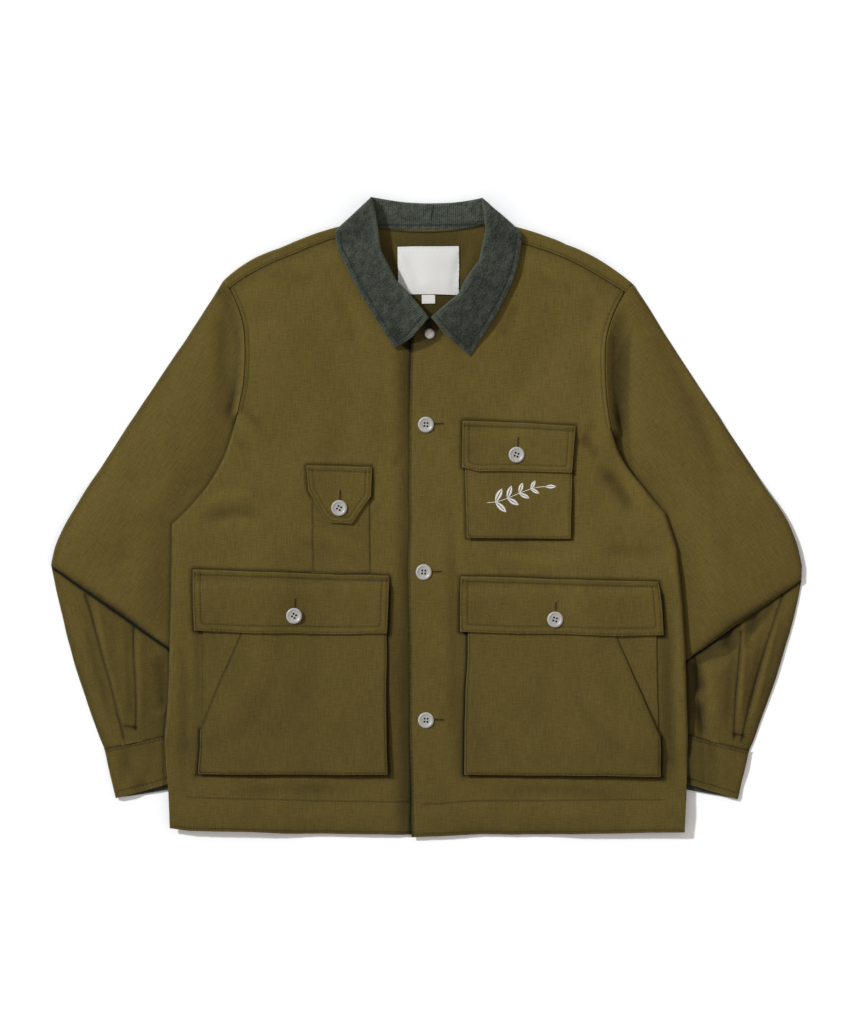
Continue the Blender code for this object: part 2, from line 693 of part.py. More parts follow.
def height_under(x, y, diameter, raised):
    """The highest of the cloth under a fastening, on a pocket raised so far over the front."""
    sheet = Sheet(body_rise, [LAP] if x > -LAP_END else [])
    around = rim(x, y, diameter / 2, ROUND_SIDES)
    return FRONT_LEVEL + LAYER + raised + max(sheet.height(*point) for point in around)


def make_button(name, x, y, raised):
    """A four-hole button with a raised rim."""
    radius = BUTTON_DIAMETER / 2
    low = height_under(x, y, BUTTON_DIAMETER, raised) + SEAM
    high = low + BUTTON_THICKNESS
    profile = (
        (radius - BUTTON_RIM, high - BUTTON_DISH), (radius - BUTTON_RIM / 2, high),
        (radius, high - BUTTON_DISH), (radius - BUTTON_DISH, low),
    )
    shape = turned(profile, ROUND_SIDES)
    bmesh.ops.translate(shape, verts=shape.verts, vec=(x, y, 0.0))
    button = place(name, shape, "button", smooth=True)
    drills = []
    for index, centre in enumerate(rim(x, y, BUTTON_HOLE_SPREAD, 4)):
        drill = turned(((BUTTON_HOLE / 2, high + SEAM), (BUTTON_HOLE / 2, low - SEAM)), HOLE_SIDES)
        bmesh.ops.translate(drill, verts=drill.verts, vec=(*centre, 0.0))
        drills.append(place(f"{name}_hole_{index}_cutter", drill, "button"))
    cut(button, *drills)


def make_snap():
    """The small domed cap of the neck's snap."""
    x, y = SNAP
    radius = SNAP_DIAMETER / 2
    high = height_under(x, y, SNAP_DIAMETER, 0.0) + SEAM + SNAP_THICKNESS
    shape = turned([(share * radius, high - drop) for share, drop in SNAP_DOME], ROUND_SIDES)
    bmesh.ops.translate(shape, verts=shape.verts, vec=(x, y, 0.0))
    place("snap_neck", shape, "snap", smooth=True)


def main():
    """Clears the scene and makes every piece of the jacket."""
    for old in list(bpy.data.objects):
        bpy.data.objects.remove(old)
    make_back()
    make_fronts()
    for side in BODY:
        make_sleeves(side)
        make_cuff(side)
        make_cargo_pocket(side)
    make_collar()
    make_labels()
    make_chest_pocket()
    make_pen_pocket()
    for name, place_and_rise in BUTTONS.items():
        make_button(name, *place_and_rise)
    make_snap()


main()
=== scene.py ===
"""The looks of a cotton twill work jacket with a needlecord collar, laid flat with its front up.

Plan sizes are in millimetres in the tables below: +X is the wearer's left, +Y the collar's
end, and Z the height over the surface that the jacket lies on. A table of one side has its x
running outward from the centre line. Meshes are made in millimetres and scaled at the end.
"""

from __future__ import annotations

import json
import logging
import math
from collections.abc import Callable, Iterable, Sequence
from dataclasses import dataclass, field
from enum import Enum
from typing import Any, NamedTuple

import bmesh
import bpy
import numpy as np
from mathutils import Matrix, Vector
from mathutils.geometry import delaunay_2d_cdt

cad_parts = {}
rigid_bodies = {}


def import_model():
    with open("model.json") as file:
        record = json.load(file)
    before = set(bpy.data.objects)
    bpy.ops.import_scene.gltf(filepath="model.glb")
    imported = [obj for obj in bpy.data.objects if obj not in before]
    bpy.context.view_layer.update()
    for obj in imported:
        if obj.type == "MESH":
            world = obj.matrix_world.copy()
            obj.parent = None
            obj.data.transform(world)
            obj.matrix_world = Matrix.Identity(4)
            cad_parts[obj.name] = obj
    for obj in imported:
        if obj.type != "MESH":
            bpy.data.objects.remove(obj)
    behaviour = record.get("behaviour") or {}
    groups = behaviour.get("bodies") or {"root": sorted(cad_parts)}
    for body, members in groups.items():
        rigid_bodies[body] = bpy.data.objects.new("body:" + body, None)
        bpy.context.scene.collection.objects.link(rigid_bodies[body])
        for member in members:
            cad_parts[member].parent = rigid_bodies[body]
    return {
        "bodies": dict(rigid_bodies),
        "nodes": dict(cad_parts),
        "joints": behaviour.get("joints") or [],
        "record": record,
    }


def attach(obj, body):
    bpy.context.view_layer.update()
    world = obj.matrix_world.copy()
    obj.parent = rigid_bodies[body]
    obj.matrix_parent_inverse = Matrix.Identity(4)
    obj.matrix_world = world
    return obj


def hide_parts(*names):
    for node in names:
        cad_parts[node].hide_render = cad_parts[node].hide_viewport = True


LOG = logging.getLogger("work_jacket")
MM = 0.001
TINY = 1e-9  # keeps a division off zero

Array = np.ndarray
Height = Callable[[Array], Array]

# How thick each cloth is, and how far apart the layers lie
TWILL = 1.2
DOUBLE = 1.8
WOVEN = 0.8
FACING = 1.0
GAP = 0.3
AIR = 1.4
TUBE = 2 * TWILL + AIR
FRONT_TOP = TUBE
CUFF_TOP = 2 * TWILL + FACING + 2 * GAP
LIFT_MARGIN = 72.0  # how far around what lies under it a layer stays lifted
LIFT_RAMP = 60.0


class Side(Enum):
    """A side of the wearer. Its value turns outward into +X or -X."""

    RIGHT = -1
    LEFT = 1

    @property
    def word(self) -> str:
        """The side in piece names."""
        return self.name.lower()


class Corner(NamedTuple):
    """A corner of an outline, and how far the edge that follows it swells outward."""

    x: float
    y: float
    swell: float = 0.0


class Crease(NamedTuple):
    """A soft ridge, or a trough where its height is below 0, from one end to the other."""

    x0: float
    y0: float
    x1: float
    y1: float
    width: float
    height: float
    bow: float = 0.0


class Shade(NamedTuple):
    """A line of painted shade: how dark, how far the dark reaches, and how deep the cloth goes down there."""

    dark: float
    spread: float
    groove: float = 0.0


@dataclass(frozen=True)
class Half:
    """One half of the body, clockwise from the neck: each run starts where the last one ends."""

    neckline: tuple[Corner, ...]
    forward_seam: tuple[Corner, ...]
    shoulder: tuple[Corner, ...]
    armhole_sewn: tuple[Corner, ...]
    armhole_free: tuple[Corner, ...]
    side: tuple[Corner, ...]
    hem: tuple[Corner, ...]


BODY = {
    Side.RIGHT: Half(
        neckline=(Corner(-20.0, 233.7), Corner(12.0, 233.7, -5.0), Corner(45.0, 262.7, -4.0)),
        forward_seam=(Corner(78.0, 331.0, 2.0), Corner(161.8, 302.9, 2.5), Corner(228.5, 265.4)),
        shoulder=(Corner(85.0, 340.0, 3.0), Corner(170.0, 312.6, 4.0), Corner(235.6, 274.0)),
        armhole_sewn=(Corner(228.5, 265.4, -4.5), Corner(210.8, 205.0, -3.4), Corner(218.9, 120.0)),
        armhole_free=(Corner(218.9, 120.0, -12.7), Corner(295.0, -8.4)),
        side=(Corner(295.0, -8.4, -3.0), Corner(302.8, -254.6), Corner(302.8, -320.7)),
        hem=(Corner(296.6, -359.8), Corner(275.0, -363.2), Corner(-20.0, -369.4)),
    ),
    Side.LEFT: Half(
        neckline=(Corner(-17.3, 233.7), Corner(14.0, 233.7, -5.0), Corner(51.0, 262.7, -4.0)),
        forward_seam=(Corner(80.0, 325.0, 2.0), Corner(156.0, 301.7, 2.5), Corner(230.0, 261.4)),
        shoulder=(Corner(85.0, 340.0, 3.0), Corner(161.8, 315.6, 5.4), Corner(239.0, 270.2)),
        armhole_sewn=(Corner(230.0, 261.4, -7.5), Corner(207.0, 172.0, -1.5), Corner(213.8, 101.5)),
        armhole_free=(
            Corner(213.8, 101.5, -4.0), Corner(244.2, 43.5), Corner(276.7, 5.6), Corner(289.9, -36.0),
        ),
        side=(Corner(289.9, -36.0, 2.0), Corner(302.2, -248.8), Corner(302.9, -335.8)),
        hem=(Corner(298.9, -364.8), Corner(60.9, -367.8), Corner(-16.5, -371.5, 4.0)),
    ),
}
NECK_SEAM = (Corner(-71.0, 340.6, -7.5), Corner(71.0, 340.6))
COLLAR_TOP = (Corner(-62.6, 371.5, -7.0), Corner(62.6, 371.5))
BAND_SIDE = (76.0, 352.0)  # a corner of the collar's band beside its fold
BAND_FOOT = (71.0, 337.0)

# Sleeves: the elbow's tuck turns the forearm under the upper sleeve.
EDGE_THIN = 1.2  # how much flatter a sleeve is at its folded edge
ELBOW = Corner(434.8, -56.0)
UPPER_OUTER = {
    Side.RIGHT: (Corner(410.0, 8.7, 3.9), ELBOW),
    Side.LEFT: (Corner(410.0, 8.7, 3.9), ELBOW, Corner(434.2, -72.0)),
}
UPPER_INNER = {
    Side.RIGHT: (Corner(277.0, -166.0), Corner(240.0, 0.0)),
    Side.LEFT: (Corner(277.0, -181.0), Corner(240.0, 0.0)),
}
TUCK_CORNER = Corner(303.0, -150.0)
LOWER_OUTER = {
    Side.RIGHT: (Corner(434.8, -56.4, 6.0), Corner(373.4, -269.5)),
    Side.LEFT: (Corner(434.8, -72.5, 5.5), Corner(373.4, -269.5)),
}
LOWER_INNER = (Corner(256.6, -242.0), Corner(253.0, -91.0))
CUFF_OUTER = (Corner(373.3, -270.0), Corner(359.8, -325.9))
CUFF_INNER = (Corner(243.0, -306.0), Corner(256.5, -242.5))
CUFF_MOUTH_INNER = Corner(246.0, -293.0)
CUFF_HEAD = Corner(256.9, -240.6)
CUFF_FOOT = Corner(373.7, -268.2)
CUFF_LOOSE = 0.9  # how far the cuff's upper side stands off what is under it
FACING_SHARE = 0.55  # how much of the cuff's depth the facing lines

LEAVES = {  # from the top of the roll line, round by the point and back up the roll line
    Side.RIGHT: (
        Corner(64.0, 370.0), Corner(104.5, 332.3, 3.0), Corner(95.7, 296.8, 1.5), Corner(67.5, 242.1),
        Corner(36.5, 195.5), Corner(17.3, 208.2), Corner(-2.8, 231.0, 1.0), Corner(35.0, 273.2),
        Corner(52.8, 308.7, 1.5),
    ),
    Side.LEFT: (
        Corner(64.0, 370.0), Corner(110.0, 329.3, 2.0), Corner(101.2, 279.0, 1.5), Corner(70.1, 216.9),
        Corner(50.8, 186.5), Corner(18.2, 215.4), Corner(5.0, 231.0), Corner(37.5, 259.8, 2.0),
        Corner(59.7, 295.3), Corner(67.9, 332.3),
    ),
}
LEAF_ROLL_STARTS = 6
LEAF_POINT = 4
LEAF_GRAIN = 32.0  # how far the wales of a leaf lean from across the jacket

LAP_END = 25.0  # the wearer's left front lies on the other as far as this x
LAP_RAMP = 40.0
LAP_HELD = -18.0  # the wearer's right front lies held under the other from this x on
LAP_HELD_RUN = 24.0
LAP_RISE = TWILL + GAP
FLAP_RUN = 12.0  # how far down a flap takes to climb onto its pocket
FALL = (  # the collar's outer layer behind the neck, under the back
    Corner(-62.6, 369.5, -5.0), Corner(62.6, 369.5), Corner(102.5, 329.5, 40.0), Corner(-102.5, 329.5),
)
PLEATS = {
    Side.RIGHT: (
        (Corner(350.5, -256.0, 0.0), Corner(357.0, -232.0, 2.0), Corner(396.0, -90.0)),
        (Corner(336.5, -246.0, 0.5), Corner(339.0, -128.0)),
        (Corner(336.5, -243.5), Corner(350.0, -242.0)),
    ),
    Side.LEFT: (
        (Corner(364.0, -259.0, 2.0), Corner(412.0, -91.0)),
        (Corner(355.5, -256.0, 0.5), Corner(365.5, -132.0)),
        (Corner(356.0, -250.5), Corner(366.0, -252.0)),
    ),
}
HEM_CORNER = (296.0, -356.0)
HEM_CORNER_RISE = 2.0
HEM_CORNER_REACH = 55.0
HEM_LOOSE = {Side.RIGHT: 0.35, Side.LEFT: 0.1}
LOW_SHADE = 0.42  # how much darker the colour is made towards the hem
FRONT_PUFF = 3.6  # how far the fronts stand off the back


@dataclass(frozen=True)
class CargoShape:
    """A cargo pocket in plan: its flap, and the patch with its slanted hand opening."""

    flap: tuple[Corner, ...]
    patch_top: float
    outer_foot: Corner
    inner_foot: Corner
    inner_top: Corner
    slant_foot: Corner
    slant_head: Corner
    outer_head: Corner
    slope_start: float


CARGO = {
    Side.RIGHT: CargoShape(
        flap=(Corner(43.0, -67.4), Corner(270.3, -60.6), Corner(267.7, -130.5, 2.0), Corner(45.6, -133.9)),
        patch_top=-85.0,
        outer_foot=Corner(263.9, -297.0), inner_foot=Corner(45.0, -297.0), inner_top=Corner(46.6, -85.0),
        slant_foot=Corner(261.5, -244.0), slant_head=Corner(196.0, -85.0), outer_head=Corner(259.0, -85.0),
        slope_start=-70.0,
    ),
    Side.LEFT: CargoShape(
        flap=(Corner(40.4, -68.6), Corner(268.5, -74.2), Corner(274.0, -135.7, 1.5), Corner(38.5, -131.7)),
        patch_top=-91.0,
        outer_foot=Corner(270.9, -299.5), inner_foot=Corner(43.8, -298.0), inner_top=Corner(48.5, -91.0),
        slant_foot=Corner(270.2, -253.0), slant_head=Corner(200.5, -91.0), outer_head=Corner(267.4, -91.0),
        slope_start=-76.0,
    ),
}
CHEST_FLAP = (
    Corner(42.3, 111.9), Corner(172.3, 106.7), Corner(168.1, 51.3), Corner(60.1, 54.2), Corner(41.5, 59.4),
)
CHEST_PATCH = (Corner(169.0, 91.0), Corner(167.3, -24.9), Corner(47.4, -24.0), Corner(44.0, 91.0))
PEN_FLAP = (
    Corner(62.6, 58.6), Corner(139.7, 60.1), Corner(136.6, 31.2), Corner(118.9, 1.7), Corner(110.8, -5.7),
    Corner(85.6, -7.2), Corner(75.3, 9.0), Corner(63.7, 25.3),
)
PEN_PATCH = (Corner(65.2, 44.0), Corner(133.4, 44.0), Corner(133.4, -65.0), Corner(65.2, -65.0))
LABEL = (Corner(-33.5, 313.8), Corner(37.5, 313.8), Corner(37.5, 258.0), Corner(-33.5, 258.0))
SIZE_TAB = (Corner(-5.5, 257.4), Corner(10.1, 257.4), Corner(10.1, 247.2), Corner(-5.5, 247.2))
BUTTONS = {  # the middle of each, with x as in the world
    "button_placket_1": (-0.7, 108.6),
    "button_placket_2": (-2.2, -62.4),
    "button_placket_3": (-0.5, -235.0),
    "button_cargo_right": (-153.4, -113.2),
    "button_cargo_left": (148.6, -117.9),
    "button_chest": (104.2, 72.0),
    "button_pen": (-100.8, 11.3),
}
SNAP = (3.5, 213.2)

# Creases, with x as in the world
FRONT_CREASES = {
    Side.RIGHT: (
        Crease(-20.0, 92.0, -42.0, 52.0, 5.0, -1.2, 3.0),
        Crease(-218.0, 132.0, -186.0, 98.0, 4.0, -0.9, 2.0),
        Crease(-222.0, 112.0, -180.0, 78.0, 5.0, 0.8, 2.0),
        Crease(-226.0, 92.0, -196.0, 72.0, 4.0, -0.8),
        Crease(-268.0, -4.0, -178.0, 4.0, 9.0, -1.5, 4.0),
        Crease(-262.0, 14.0, -190.0, 24.0, 10.0, 1.0, 3.0),
        Crease(-200.0, 290.0, -120.0, 262.0, 12.0, -1.2, 5.0),
        Crease(-106.0, 268.0, -70.0, 190.0, 9.0, -1.0, -4.0),
        Crease(-150.0, 200.0, -120.0, 90.0, 22.0, 0.9, 5.0),
        Crease(-40.0, -30.0, -24.0, -300.0, 9.0, -1.2, 3.0),
        Crease(-160.0, -14.0, -60.0, -44.0, 8.0, 0.9, 4.0),
        Crease(-282.0, -120.0, -280.0, -330.0, 8.0, -1.3, 3.0),
        Crease(-250.0, -322.0, -60.0, -316.0, 7.0, -0.9, 4.0),
        Crease(-180.0, -350.0, -90.0, -346.0, 5.0, 0.5, 2.0),
    ),
    Side.LEFT: (
        Crease(204.0, 262.0, 214.0, 40.0, 20.0, 4.6, 5.0),
        Crease(196.0, 66.0, 244.0, -6.0, 9.0, -2.4, 4.0),
        Crease(212.0, 82.0, 262.0, 6.0, 9.0, 1.1, 4.0),
        Crease(200.0, 118.0, 180.0, 72.0, 6.0, -0.8, -3.0),
        Crease(188.0, 262.0, 120.0, 284.0, 12.0, -1.2, 5.0),
        Crease(108.0, 262.0, 78.0, 196.0, 9.0, -1.0, 4.0),
        Crease(196.0, -40.0, 286.0, -46.0, 9.0, -0.9, 3.0),
        Crease(70.0, -42.0, 190.0, -52.0, 8.0, 0.9, -4.0),
        Crease(28.0, 60.0, 32.0, -320.0, 8.0, -1.1, 3.0),
        Crease(284.0, -90.0, 288.0, -330.0, 7.0, -1.5, -3.0),
        Crease(70.0, -318.0, 250.0, -324.0, 7.0, -0.9, 4.0),
        Crease(110.0, -350.0, 230.0, -346.0, 5.0, 0.5, 2.0),
        Crease(178.0, 96.0, 202.0, 60.0, 6.0, -1.2, 3.0),
    ),
}
BACK_CREASES = (
    Crease(2.0, 400.0, 2.0, 180.0, 30.0, 3.0),
    Crease(-58.0, 322.0, -24.0, 246.0, 7.0, -0.9, 4.0),
    Crease(-46.0, 326.0, -12.0, 250.0, 6.0, 1.3, 4.0),
    Crease(60.0, 326.0, 44.0, 262.0, 7.0, 1.4, -3.0),
    Crease(46.0, 322.0, 30.0, 250.0, 5.0, -0.8, -3.0),
)
UPPER_CREASES = {
    Side.RIGHT: (
        Crease(-232.0, 268.0, -228.0, 96.0, 12.0, -5.0, -4.0),
        Crease(-258.0, 190.0, -322.0, 40.0, 20.0, 1.6, -6.0),
        Crease(-262.0, 60.0, -300.0, -30.0, 12.0, -1.6, -4.0),
        Crease(-330.0, 20.0, -360.0, -70.0, 16.0, -1.4, 4.0),
    ),
    Side.LEFT: (
        Crease(224.0, 262.0, 226.0, 70.0, 13.0, -5.0, 3.0),
        Crease(242.0, 252.0, 350.0, 4.0, 14.0, -3.2, 12.0),
        Crease(262.0, 232.0, 372.0, 10.0, 14.0, 1.6, 12.0),
        Crease(262.0, 60.0, 312.0, -40.0, 12.0, -1.4, 5.0),
        Crease(340.0, -10.0, 372.0, -76.0, 14.0, -1.2, -4.0),
    ),
}
FOREARM_SHADES = {  # painted shade where the forearm lies deep
    Side.RIGHT: (
        ((Corner(306.0, -165.0), Corner(305.0, -250.0)), Shade(0.25, 7.0)),
    ),
    Side.LEFT: (
        ((Corner(301.0, -160.0), Corner(308.0, -198.0), Corner(312.0, -230.0)), Shade(0.5, 7.0)),
    ),
}
NECK_SHADOW = (  # painted shadow on the fronts under the meeting of the collar's leaves
    Corner(2.0, 236.0), Corner(20.0, 213.0), Corner(15.0, 205.0), Corner(5.0, 199.5), Corner(-10.0, 193.0),
    Corner(-19.0, 192.0), Corner(-30.0, 200.0), Corner(-10.0, 224.0),
)
ARMHOLE_SHADOW = (  # painted shadow of the body in the deep of the sleeve beside the wearer's left armhole
    Corner(240.7, 226.8), Corner(236.1, 196.6), Corner(234.9, 165.3), Corner(234.4, 131.7),
    Corner(236.1, 92.2), Corner(239.2, 58.6), Corner(246.0, 42.0), Corner(222.0, 60.0),
    Corner(205.0, 100.0), Corner(204.0, 165.0), Corner(215.0, 176.0), Corner(226.0, 198.0),
)
FOREARM_SHADOWS = (  # painted shadows in the wearer's left forearm's deeps, under the elbow's fold and beside the body
    (
        Corner(303.0, -158.0), Corner(308.0, -164.0), Corner(317.3, -169.9), Corner(331.0, -163.0),
        Corner(346.3, -160.7), Corner(360.0, -150.5), Corner(364.8, -132.8), Corner(365.0, -122.0),
        Corner(303.0, -150.0),
    ),
    (
        Corner(367.6, -151.0), Corner(376.0, -137.5), Corner(388.0, -124.0), Corner(404.3, -101.0),
        Corner(400.0, -98.0), Corner(368.0, -122.0),
    ),
    (
        Corner(296.0, -164.0), Corner(314.0, -170.0), Corner(315.0, -204.0), Corner(320.0, -240.0),
        Corner(321.5, -312.0), Corner(296.0, -312.0),
    ),
)
# Painted shade: how dark the shadows above are painted, and shades painted along lines.
NECK_DARK = 1.3
ARMHOLE_DARK = 0.45
FOREARM_DARK = (0.85, 0.7, 0.5)
POCKET_EDGE = Shade(1.5, 2.3, 0.3)  # painted shade just outside a pocket or a flap
POCKET_SIDE = Shade(0.6, 6.0)
PLACKET_EDGE = Shade(1.3, 2.0, 0.3)  # painted shade on the under front, beside the edge of the lap
PLACKET_SIDE = Shade(0.75, 9.0)
SNAP_GAP = Shade(1.0, 9.0)
NECK_INSIDE = Shade(1.4, 70.0)
BODY_EDGE = Shade(0.7, 2.6, 0.3)  # painted shadow on a sleeve, beside the body that lies on it
ARMHOLE_SIDE = Shade(0.9, 7.5)
ELBOW_EDGE = {Side.RIGHT: Shade(2.6, 1.8, 0.4), Side.LEFT: Shade(1.5, 1.8, 0.4)}
PLEAT_EDGE = Shade(1.1, 2.0, 0.9)
TURNED_EDGE = Shade(2.0, 1.2)
CREASE_TAPER = 0.35  # the share of a crease that fades at each end
FOREARM_CREASES = {
    Side.RIGHT: (
        Crease(-386.0, -74.0, -345.0, -262.0, 5.0, 1.4, -2.0),
        Crease(-402.0, -80.0, -356.0, -262.0, 5.0, -1.0, -2.0),
        Crease(-332.0, -104.0, -331.0, -262.0, 5.0, 1.2),
        Crease(-345.0, -108.0, -341.0, -262.0, 4.0, -0.8),
        Crease(-312.0, -150.0, -300.0, -236.0, 9.0, -1.0),
        Crease(-318.0, -232.0, -290.0, -222.0, 5.0, 0.8),
    ),
    Side.LEFT: (
        Crease(414.0, -84.0, 370.0, -262.0, 4.0, 1.5, 2.0),
        Crease(402.0, -90.0, 358.0, -262.0, 5.0, -1.0, 2.0),
        Crease(371.0, -118.0, 361.0, -262.0, 4.0, 1.4, 1.0),
        Crease(358.0, -124.0, 349.0, -262.0, 5.0, -1.0),
        Crease(308.0, -158.0, 317.0, -212.0, 6.0, -3.0, 3.0),
        Crease(317.0, -205.0, 320.0, -262.0, 5.0, -2.2),
        Crease(332.0, -168.0, 336.0, -246.0, 9.0, 1.6),
        Crease(352.0, -126.0, 346.0, -158.0, 7.0, -1.6),
        Crease(386.0, -106.0, 372.0, -142.0, 8.0, -1.6),
        Crease(320.0, -178.0, 350.0, -176.0, 6.0, 0.9),
    ),
}


def smoothstep(value: Array) -> Array:
    """0 below 0, 1 above 1, and a smooth rise between."""
    share = np.clip(value, 0.0, 1.0)
    return share * share * (3.0 - 2.0 * share)


def rotation(angle: float) -> Array:
    """The matrix that turns rows of points clockwise by an angle in radians."""
    cosine, sine = math.cos(angle), math.sin(angle)
    return np.array(((cosine, -sine), (sine, cosine)))


def level_at(height: float) -> Height:
    """A level surface."""
    return lambda plan: np.full(len(plan), height)


def rolled(distance: Array, radius: float) -> Array:
    """How far a rounded edge has dropped at a distance from the edge."""
    inward = np.clip(radius - distance, 0.0, radius)
    return radius - np.sqrt(radius * radius - inward * inward)


class Line:
    """A run of points in plan, in millimetres.

    Args:
        points: its points, one row each.
        closed: whether its last point joins its first.
        hand: 1 where its inner side is on its right, and -1 on its left.
    """

    CHUNK = 4000

    def __init__(self, points: Array, closed: bool = False, hand: int = 1) -> None:
        """Keeps the points as an array of rows.

        Args:
            points: its points.
            closed: whether its last point joins its first.
            hand: 1 or -1, for its inner side.
        """
        self.points = np.asarray(points, float)
        self.closed = closed
        self.hand = hand

    @classmethod
    def through(
        cls, corners: Sequence[Corner], side: Side = Side.LEFT, closed: bool = False, step: float = 3.0,
    ) -> Line:
        """A line through a table's corners, with its swelling edges as arcs.

        Args:
            corners: the corners, clockwise, with x outward on the side.
            side: the side that the table is of.
            closed: whether the last corner joins the first.
            step: the distance between the line's points.

        Returns:
            The line.
        """
        ends = [*corners, corners[0]] if closed else list(corners)
        rows = []
        for start, end in zip(ends, ends[1:]):
            chord = np.array((end.x - start.x, end.y - start.y))
            length = float(np.hypot(*chord))
            count = max(1, round(length / step))
            share = np.arange(count)[:, None] / count
            outward = np.array((-chord[1], chord[0])) / length
            bulge = 4.0 * start.swell * share * (1.0 - share) * outward
            rows.append((start.x, start.y) + share * chord + bulge)
        if not closed:
            rows.append(np.array([[ends[-1].x, ends[-1].y]]))
        points = np.vstack(rows) * (side.value, 1.0)
        return cls(points, closed, side.value)

    @property
    def ends(self) -> tuple[Array, Array]:
        """The start and the end of each segment."""
        after = np.roll(self.points, -1, axis=0)
        return (self.points, after) if self.closed else (self.points[:-1], self.points[1:])

    @property
    def length(self) -> float:
        """Its length."""
        start, end = self.ends
        return float(np.hypot(*(end - start).T).sum())

    @property
    def area(self) -> float:
        """The area inside a closed line."""
        start, end = self.ends
        return abs(float((start[:, 0] * end[:, 1] - end[:, 0] * start[:, 1]).sum())) / 2.0

    def near(self, plan: Array) -> tuple[Array, Array]:
        """How far each point lies from the line, and how far along the line its foot is.

        Args:
            plan: the points.

        Returns:
            The distance of each point, and the length of the line up to its foot.
        """
        start, end = self.ends
        chord = end - start
        length = np.maximum(np.hypot(*chord.T), TINY)
        before = np.concatenate(([0.0], np.cumsum(length)[:-1]))
        distance, along = np.empty(len(plan)), np.empty(len(plan))
        for low in range(0, len(plan), self.CHUNK):
            part = plan[low:low + self.CHUNK]
            offset = part[:, None, :] - start[None]
            share = np.clip((offset * chord).sum(2) / (length * length), 0.0, 1.0)
            gap = np.hypot(*np.moveaxis(offset - share[..., None] * chord, 2, 0))
            nearest = gap.argmin(1)
            rows = np.arange(len(part))
            distance[low:low + self.CHUNK] = gap[rows, nearest]
            along[low:low + self.CHUNK] = before[nearest] + share[rows, nearest] * length[nearest]
        return distance, along

    def inside(self, plan: Array) -> Array:
        """Which points lie inside a closed line.

        Args:
            plan: the points.

        Returns:
            True for each point that lies inside.
        """
        found = np.zeros(len(plan), bool)
        for (x0, y0), (x1, y1) in zip(*self.ends):
            if y0 == y1:
                continue
            crosses = (y0 > plan[:, 1]) != (y1 > plan[:, 1])
            found ^= crosses & (plan[:, 0] < x0 + (plan[:, 1] - y0) * (x1 - x0) / (y1 - y0))
        return found

    def outside_by(self, plan: Array) -> Array:
        """How far each point lies outside a closed line, and 0 within it."""
        return np.where(self.inside(plan), 0.0, self.near(plan)[0])

    def inset(self, distance: float) -> Line:
        """The line moved towards its inner side.

        Args:
            distance: how far, and below 0 outward.

        Returns:
            The moved line.
        """
        if self.closed:
            before, after = np.roll(self.points, 1, axis=0), np.roll(self.points, -1, axis=0)
        else:
            before = np.vstack((self.points[:1], self.points[:-1]))
            after = np.vstack((self.points[1:], self.points[-1:]))
        way = after - before
        way /= np.maximum(np.hypot(*way.T), TINY)[:, None]
        normal = np.column_stack((way[:, 1], -way[:, 0])) * self.hand
        moved = self.points + distance * normal
        clear = self.near(moved)[0] > abs(distance) - 0.05
        return Line(moved[clear] if clear.sum() > 2 else moved, self.closed, self.hand)

    def spaced(self, step: float) -> tuple[Array, Array]:
        """Points evenly along the line, and its direction at each.

        Args:
            step: the distance between the points.

        Returns:
            The points, and a unit vector at each.
        """
        start, end = self.ends
        length = np.hypot(*(end - start).T)
        reached = np.concatenate(([0.0], np.cumsum(length)))
        corners = np.vstack((start, end[-1:]))
        count = max(2, round(reached[-1] / step))
        at = (np.arange(count) + 0.5) * reached[-1] / count
        points = np.column_stack([np.interp(at, reached, corners[:, axis]) for axis in (0, 1)])
        ahead = np.column_stack([np.interp(at + 0.5, reached, corners[:, axis]) for axis in (0, 1)])
        behind = np.column_stack([np.interp(at - 0.5, reached, corners[:, axis]) for axis in (0, 1)])
        way = ahead - behind
        return points, way / np.maximum(np.hypot(*way.T), TINY)[:, None]

    def trimmed(self, start: float, end: float) -> Line:
        """The line without a length at its start and at its end.

        Args:
            start: the length that goes at its start.
            end: the length that goes at its end.

        Returns:
            The shorter line.
        """
        first, last = self.ends
        reached = np.concatenate(([0.0], np.cumsum(np.hypot(*(last - first).T))))
        keep = (reached > start) & (reached < reached[-1] - end)
        points = np.vstack((first, last[-1:]))
        at = np.concatenate(([start], reached[keep], [reached[-1] - end]))
        return Line(
            np.column_stack([np.interp(at, reached, points[:, axis]) for axis in (0, 1)]), False, self.hand,
        )


class Undulation:
    """Smooth uneven relief, the same on every run.

    Args:
        seed: picks the relief.
        wavelength: its coarseness.
        height: its greatest height and depth.
        stretch: how much longer it runs along Y than along X.
    """

    CELLS = 64

    def __init__(self, seed: int, wavelength: float, height: float, stretch: float = 1.0) -> None:
        """Draws the heights at the corners of its cells.

        Args:
            seed: picks the relief.
            wavelength: its coarseness.
            height: its greatest height.
            stretch: how much longer it runs along Y.
        """
        self.table = np.random.default_rng(seed).uniform(-1.0, 1.0, (self.CELLS, self.CELLS))
        self.wavelength = wavelength
        self.height = height
        self.stretch = stretch

    def __call__(self, plan: Array) -> Array:
        """The relief's height at each point.

        Args:
            plan: the points.

        Returns:
            Their heights.
        """
        cell = plan / self.wavelength / (1.0, self.stretch)
        low = np.floor(cell).astype(int)
        share = smoothstep(cell - low)
        (x0, y0), (x1, y1) = (low % self.CELLS).T, ((low + 1) % self.CELLS).T
        near = self.table[x0, y0] * (1 - share[:, 0]) + self.table[x1, y0] * share[:, 0]
        far = self.table[x0, y1] * (1 - share[:, 0]) + self.table[x1, y1] * share[:, 0]
        return self.height * (near * (1 - share[:, 1]) + far * share[:, 1])


CREEP = (
    (Undulation(201, 52.0, 1.0), Undulation(202, 17.0, 0.28)),
    (Undulation(203, 52.0, 1.0), Undulation(204, 17.0, 0.28)),
)


